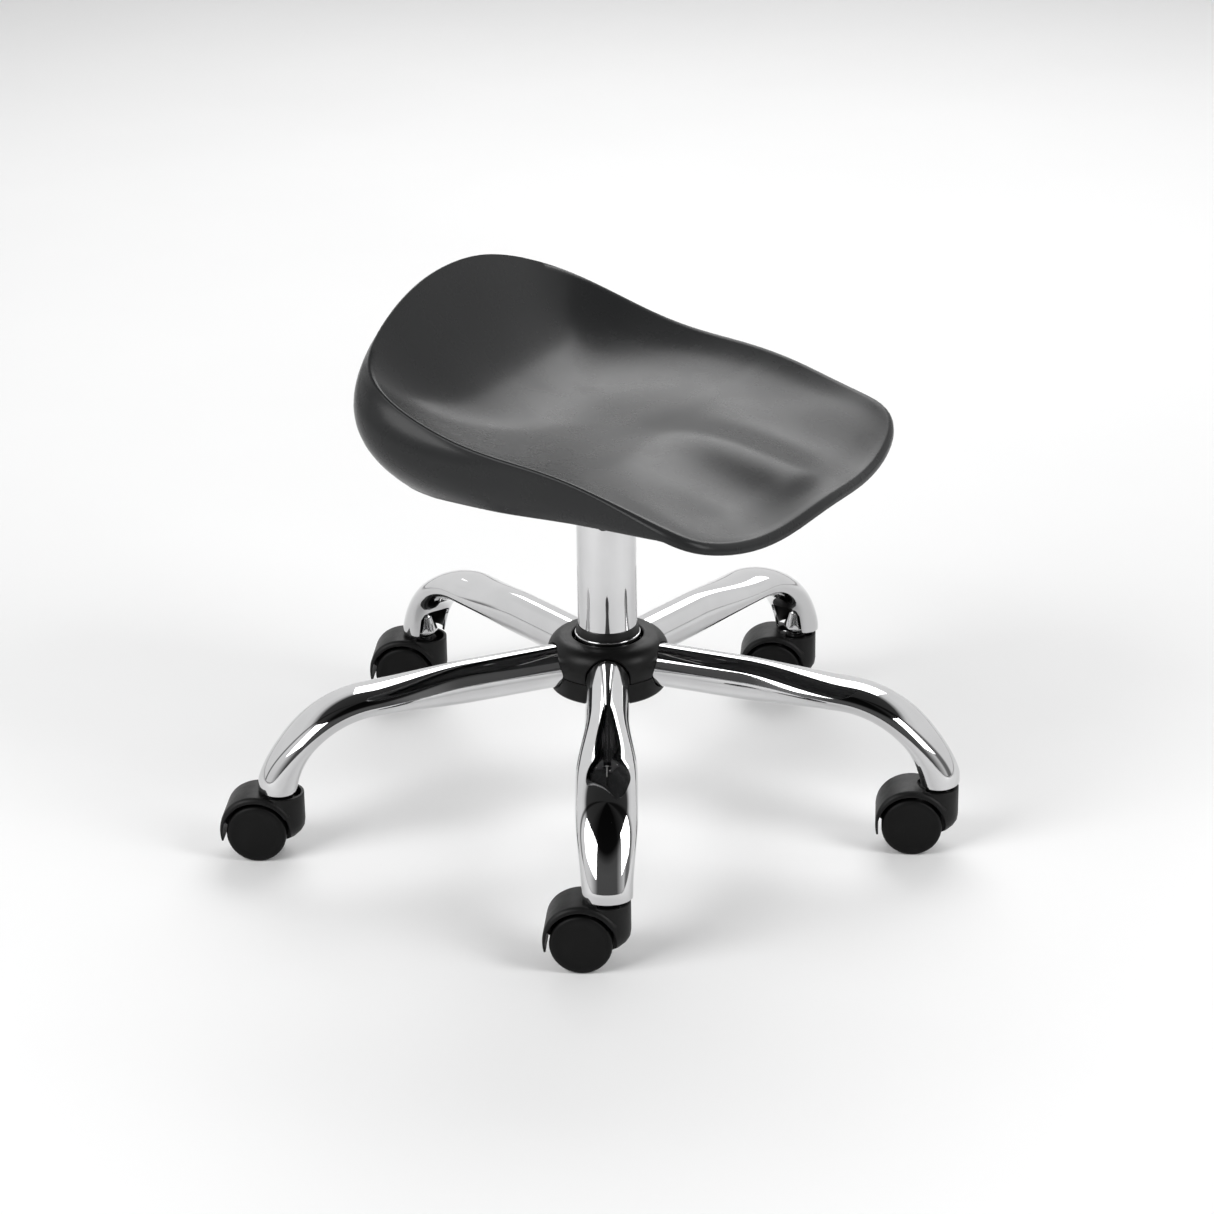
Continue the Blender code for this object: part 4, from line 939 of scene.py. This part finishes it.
def build_lever(places, materials):
    """The rod is turned, with an eye on the cross pin and a flat finger over the release pin."""
    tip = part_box("lever_grip")[0].y
    reach = places.lever.y - tip
    fall = -2.8 * MM
    along = Vector((0.0, -(reach - 8 * MM), fall))
    rod = lathe([(0.0, 4 * MM), (3 * MM, 4 * MM), (3 * MM, reach - 8 * MM), (0.0, reach - 8 * MM)], 32)
    turn = along.to_track_quat("Z", "Y").to_matrix().to_4x4()
    lever = mesh_object("lever_rod", turned(rod, turn), materials["plain_steel"])
    eye = lathe([(3.3 * MM, -9 * MM), (6 * MM, -9 * MM), (6 * MM, 9 * MM), (3.3 * MM, 9 * MM)], 48)
    turned(eye, Matrix.Rotation(math.pi / 2, 4, "Y"))
    finger_corners = [(4.2 * MM, 1.8 * MM), (34 * MM, 1.8 * MM), (34 * MM, 5.2 * MM), (4.2 * MM, 5.2 * MM)]
    finger_outline = rounded(finger_corners, 1 * MM)
    finger = prism(finger_outline, -4 * MM, 4 * MM, lambda u, v, w: (w, u, v))
    steps = [("UNION", mesh_object("add_eye", eye, None))]
    steps.append(("UNION", mesh_object("add_finger", finger, None)))
    combine(lever, steps)
    lever.data.materials.clear()
    lever.data.materials.append(materials["plain_steel"])
    fit(place(lever, places.lever), "lever", "plain_steel", "lever_arm")
    start = reach - 52 * MM
    grip = [(3.3 * MM, start), (4.2 * MM, start), (4.7 * MM, start + 1 * MM), (5.2 * MM, start + 8 * MM)]
    for ridge in range(7):
        z = start + 12 * MM + ridge * 4 * MM
        grip += [(5.2 * MM, z), (4.8 * MM, z + 0.7 * MM), (4.8 * MM, z + 1.1 * MM), (5.2 * MM, z + 1.8 * MM)]
    grip += [(5.2 * MM, reach - 4.5 * MM)] + arc((2 * MM, reach - 3.2 * MM), 3.2 * MM, 10, 90, 6)
    grip += [(0.0, reach), (0.0, reach - 7 * MM), (3.3 * MM, reach - 7 * MM)]
    shape = lathe_cap(grip, 40)
    handle = mesh_object("lever_grip_sleeve", turned(shape, turn), materials["cover_moulding"])
    fit(place(handle, places.lever), "lever", "cover_moulding", "lever_grip")


def lathe_cap(outline, sides):
    """A cap whose outline crosses the axis twice in a row."""
    first = next(index for index, (radius, _) in enumerate(outline) if radius < 1e-7)
    return lathe(outline[first + 1 :] + outline[: first + 1], sides)


# ---------------------------------------------------------------- castors


def fender_mesh(trail):
    """The fender: a band round both wheels with rounded shoulders, thinner and drawn in at its low fin."""
    first, last, steps = -12.0, 150.0, 54
    shape = bmesh.new()
    rings = []
    for step in range(steps + 1):
        degrees = blend(first, last, step / steps)
        turn = math.radians(degrees)
        draw_in = 3.1 * MM * (1 - smooth_step(degrees, -12.0, 58.0))
        outer = HOOD_RADIUS - draw_in
        shoulder = min(4.2 * MM, outer - HOOD_POCKET - 0.5 * MM)
        half = HOOD_HALF_WIDTH
        section = arc((outer - shoulder, -half + shoulder), shoulder, 270, 360, 6)
        section += arc((outer - shoulder, half - shoulder), shoulder, 0, 90, 6)
        section += [(HOOD_POCKET + 0.4 * MM, half), (HOOD_POCKET, half - 0.4 * MM)]
        section += [(HOOD_POCKET, -half + 0.4 * MM), (HOOD_POCKET + 0.4 * MM, -half)]
        ring = []
        for radius, across in section:
            place_z = WHEEL_RADIUS + radius * math.sin(turn)
            ring.append(shape.verts.new((trail + radius * math.cos(turn), across, place_z)))
        rings.append(ring)
    skin(shape, rings)
    shape.faces.new(rings[0])
    shape.faces.new(list(reversed(rings[-1])))
    return shape


def web_outline(trail):
    """The plate between the wheels, side on: under the fender and down to a rounded toe below the axle."""
    points = []
    for degrees in range(10, 151, 10):
        turn = math.radians(degrees)
        points.append((trail + 30 * MM * math.cos(turn), WHEEL_RADIUS + 30 * MM * math.sin(turn)))
    points += [(-4 * MM, 30 * MM), (0.0, 18 * MM), (trail - 8 * MM, 11.5 * MM), (trail, 10.5 * MM)]
    points += [(trail + 9 * MM, 12.5 * MM), (trail + 17 * MM, 19 * MM), (trail + 24 * MM, 26 * MM)]
    return points


def build_hood_mesh(trail, materials):
    hood = mesh_object("castor_hood_pattern", fender_mesh(trail), materials["castor_moulding"], 32.0)
    neck = [(0.0, 14 * MM), (6 * MM, 14.2 * MM), (11 * MM, 17.5 * MM), (15.5 * MM, 22 * MM)]
    neck += [(17.8 * MM, 26 * MM), (NECK_RADIUS, 31 * MM), (NECK_RADIUS, NECK_TOP - 0.7 * MM)]
    neck += arc((NECK_RADIUS - 0.7 * MM, NECK_TOP - 0.7 * MM), 0.7 * MM, 0, 90, 3)[1:]
    neck += [(NECK_RADIUS - 2.2 * MM, NECK_TOP), (NECK_RADIUS - 2.6 * MM, NECK_TOP - 0.5 * MM)]
    neck += [(NECK_RADIUS - 3.2 * MM, NECK_TOP - 7 * MM), (9 * MM, NECK_TOP - 7 * MM)]
    neck.append((9 * MM, NECK_TOP - 1.5 * MM))
    neck += [(6 * MM, NECK_TOP - 1.2 * MM), (5.7 * MM, NECK_TOP - 1.5 * MM)]
    neck += [(5.7 * MM, 36 * MM), (0.0, 36 * MM)]
    neck_item = mesh_object("add_neck", lathe(neck, 72), None)
    plate = prism(rounded(web_outline(trail), 3 * MM, 3), -HOOD_WEB, HOOD_WEB, lambda u, v, w: (u, w, v))
    web_item = mesh_object("add_web", plate, None)
    recess = [(0.0, NECK_TOP - 7 * MM), (NECK_RADIUS - 3.2 * MM, NECK_TOP - 7 * MM)]
    recess += [(NECK_RADIUS - 2.6 * MM, NECK_TOP + 1 * MM), (NECK_RADIUS - 2.6 * MM, NECK_TOP + 12 * MM)]
    recess += [(0.0, NECK_TOP + 12 * MM)]
    boss_space = lathe(recess, 72)
    recess_item = mesh_object("cut_recess", boss_space, None)
    steps = [("UNION", web_item), ("DIFFERENCE", recess_item), ("UNION", neck_item)]
    for side in (-1, 1):
        pocket = lathe(
            [(0.0, HOOD_WEB), (HOOD_POCKET, HOOD_WEB), (HOOD_POCKET, 30 * MM), (0.0, 30 * MM)],
            120,
        )
        axle_place = Matrix.Translation((trail, 0.0, WHEEL_RADIUS))
        turned(pocket, axle_place @ Matrix.Rotation(-side * math.pi / 2, 4, "X"))
        steps.append(("DIFFERENCE", mesh_object(f"cut_pocket_{side}", pocket, None)))
    bore = lathe([(0.0, 36 * MM), (5.8 * MM, 36 * MM), (5.8 * MM, 70 * MM), (0.0, 70 * MM)], 48)
    steps.append(("DIFFERENCE", mesh_object("cut_bore", bore, None)))
    axle = lathe([(0.0, -20 * MM), (4.3 * MM, -20 * MM), (4.3 * MM, 20 * MM), (0.0, 20 * MM)], 40)
    turned(axle, Matrix.Translation((trail, 0.0, WHEEL_RADIUS)) @ Matrix.Rotation(math.pi / 2, 4, "X"))
    steps.append(("DIFFERENCE", mesh_object("cut_axle", axle, None)))
    combine(hood, steps)
    hood.data.shade_smooth()
    hood.data.set_sharp_from_angle(angle=math.radians(32))
    hood.data.materials.clear()
    hood.data.materials.append(materials["castor_moulding"])
    return hood


def wheel_shape():
    """A wheel along +Z from the web side to its outer disc: flat tread, round shoulder, dished face."""
    radius, outer, inner = WHEEL_RADIUS, 21 * MM, 7.5 * MM
    profile = [(0.0, 18 * MM), (4.3 * MM, 18 * MM), (4.3 * MM, inner)]
    profile += [(7 * MM, inner), (7 * MM, inner + 1.5 * MM)]
    profile += [(radius - 4 * MM, inner + 1.5 * MM), (radius - 3.4 * MM, inner + 0.4 * MM)]
    profile += [(radius - 0.8 * MM, inner + 0.2 * MM), (radius, inner + 1 * MM), (radius, outer - 3.6 * MM)]
    profile += arc((radius - 3 * MM, outer - 3.6 * MM), 3 * MM, 8, 82, 8)
    profile += [(radius - 4 * MM, outer - 0.45 * MM), (radius - 5.2 * MM, outer - 0.5 * MM)]
    profile += [(radius - 6.4 * MM, outer - 0.75 * MM), (14 * MM, outer - 0.45 * MM)]
    profile.append((8 * MM, outer - 0.15 * MM))
    profile += [(3 * MM, outer), (0.0, outer)]
    return lathe(profile, 96)


def build_castors(places, materials):
    trail = places.trail()
    pattern = build_hood_mesh(trail, materials)
    for name in places.arms:
        hood = bpy.data.objects.new(f"hood_{name}", pattern.data.copy())
        bpy.context.scene.collection.objects.link(hood)
        place(hood, places.stems[name], places.castor_yaw())
        fit(hood, f"castor_{name}", "castor_moulding", f"castor_hood_{name}")
        for side, label in ((1, "left"), (-1, "right")):
            wheel = mesh_object(f"tread_{label}_{name}", wheel_shape(), materials["wheel_moulding"], 30.0)
            turn = (places.wheel_axis * side).to_track_quat("Z", "Y").to_matrix().to_4x4()
            wheel.matrix_world = Matrix.Translation(places.wheels[name]) @ turn
            fit(wheel, f"wheel_{label}_{name}", "wheel_moulding", f"wheel_{label}_{name}")
    bpy.data.objects.remove(pattern)


# ---------------------------------------------------------------- studio


def build_camera(places):
    """The viewpoint: a long lens, 23 degrees above level, a little off the front arm's line."""
    turn = math.radians(0.67)
    level = math.radians(22.994)
    roll = math.radians(-0.869)
    distance = 3.081
    target = places.axis + Vector((0.0, 0.0, 0.2))
    towards = Vector((math.sin(turn), -math.cos(turn), 0.0))
    back = towards * math.cos(level) + Vector((0.0, 0.0, math.sin(level)))
    flat_right = Vector((math.cos(turn), math.sin(turn), 0.0))
    flat_up = back.cross(flat_right)
    right = flat_right * math.cos(roll) + flat_up * math.sin(roll)
    up = flat_up * math.cos(roll) - flat_right * math.sin(roll)
    camera = bpy.data.objects.new("camera", bpy.data.cameras.new("camera"))
    bpy.context.scene.collection.objects.link(camera)
    facing = Matrix((right, up, back)).transposed().to_4x4()
    camera.matrix_world = Matrix.Translation(target + back * distance) @ facing
    camera.data.sensor_width = 36.0
    camera.data.lens = 109.04
    camera.data.shift_y = -0.0166
    camera.data.clip_end = 60.0
    bpy.context.scene.camera = camera


def build_floor():
    shape = bmesh.new()
    bmesh.ops.create_grid(shape, x_segments=8, y_segments=8, size=14.0)
    dark, light = (0.86, 0.86, 0.86), (0.88, 0.88, 0.88)
    material = finish("floor_paper", dark, light, (0.7, 0.8), 0.0, 60, (0.0, 0.0), 2.0, 0.2)
    floor = mesh_object("floor", shape, material)


def area_light(name, location, target, size, power):
    light = bpy.data.lights.new(name, "AREA")
    light.shape = "RECTANGLE"
    light.size, light.size_y = size
    light.energy = power
    item = bpy.data.objects.new(name, light)
    bpy.context.scene.collection.objects.link(item)
    item.location = location
    aim = Vector(target) - Vector(location)
    item.rotation_euler = aim.to_track_quat("-Z", "Y").to_euler()


def world_ramp(tree, value, stops):
    ramp = node(tree, "ShaderNodeValToRGB")
    elements = ramp.color_ramp.elements
    for index, (position, level) in enumerate(stops):
        element = elements[index] if index < 2 else elements.new(position)
        element.position = position
        element.color = (level, level, level, 1.0)
    tree.links.new(value, ramp.inputs["Fac"])
    return ramp.outputs["Color"]


def build_world():
    """A white sweep behind the stool up to half height, dark overhead and in the room behind the camera."""
    world = bpy.data.worlds.new("studio")
    bpy.context.scene.world = world
    world.use_nodes = True
    tree = world.node_tree
    background = tree.nodes["Background"]
    direction = node(tree, "ShaderNodeTexCoord").outputs["Generated"]
    split = node(tree, "ShaderNodeSeparateXYZ")
    tree.links.new(direction, split.inputs["Vector"])
    around = node(tree, "ShaderNodeTexGradient", gradient_type="RADIAL")
    tree.links.new(direction, around.inputs["Vector"])
    levels = ((0.0, 0.95), (0.55, 1.0), (0.68, 0.85), (0.78, 0.05), (1.0, 0.03))
    height = world_ramp(tree, split.outputs["Z"], levels)
    sides = ((0.0, 1.0), (0.07, 0.9), (0.15, 0.10), (0.35, 0.10), (0.43, 0.8), (0.452, 0.2), (0.488, 0.2))
    sides += ((0.51, 1.0), (0.972, 1.0), (0.982, 0.2), (0.99, 0.2), (1.0, 1.0))
    mix = node(tree, "ShaderNodeMix", data_type="RGBA", blend_type="MULTIPLY")
    mix.inputs["Factor"].default_value = 1.0
    tree.links.new(height, mix.inputs["A"])
    tree.links.new(world_ramp(tree, around.outputs["Fac"], sides), mix.inputs["B"])
    tree.links.new(mix.outputs["Result"], background.inputs["Color"])
    background.inputs["Strength"].default_value = 0.95


def build_studio(places):
    bpy.context.scene.view_settings.view_transform = "Standard"
    build_camera(places)
    build_floor()
    build_world()
    centre = places.axis
    area_light("soft_left", centre + Vector((-2.2, -1.6, 2.0)), (0.0, 0.0, 0.2), (1.8, 1.8), 66.0)
    area_light("soft_right", centre + Vector((2.2, -1.2, 1.8)), (0.0, 0.0, 0.2), (1.2, 1.8), 42.0)
    area_light("soft_back", centre + Vector((0.3, 2.4, 2.2)), (0.0, 0.0, 0.3), (2.6, 1.4), 48.0)


def dress_frame(frame, materials):
    """Gives each CAD node that stays in view its slot's material."""
    slots = {item["node"]: item["material_slot"] for item in frame["record"]["subparts"]}
    for name, item in frame["nodes"].items():
        item.data.materials.clear()
        item.data.materials.append(materials[slots[name]])
        item.data.shade_smooth()
        item.data.set_sharp_from_angle(angle=math.radians(32))


def main():
    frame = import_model()
    places = Places(frame)
    materials = make_materials()
    dress_frame(frame, materials)
    build_studio(places)
    build_seat(places, materials)
    for name in places.arms:
        build_arm(name, places, materials)
        build_stem(name, places, materials)
    build_hub(places, materials)
    build_column(places, materials)
    build_lift(places, materials)
    build_screws(materials)
    build_lever(places, materials)
    build_castors(places, materials)


main()
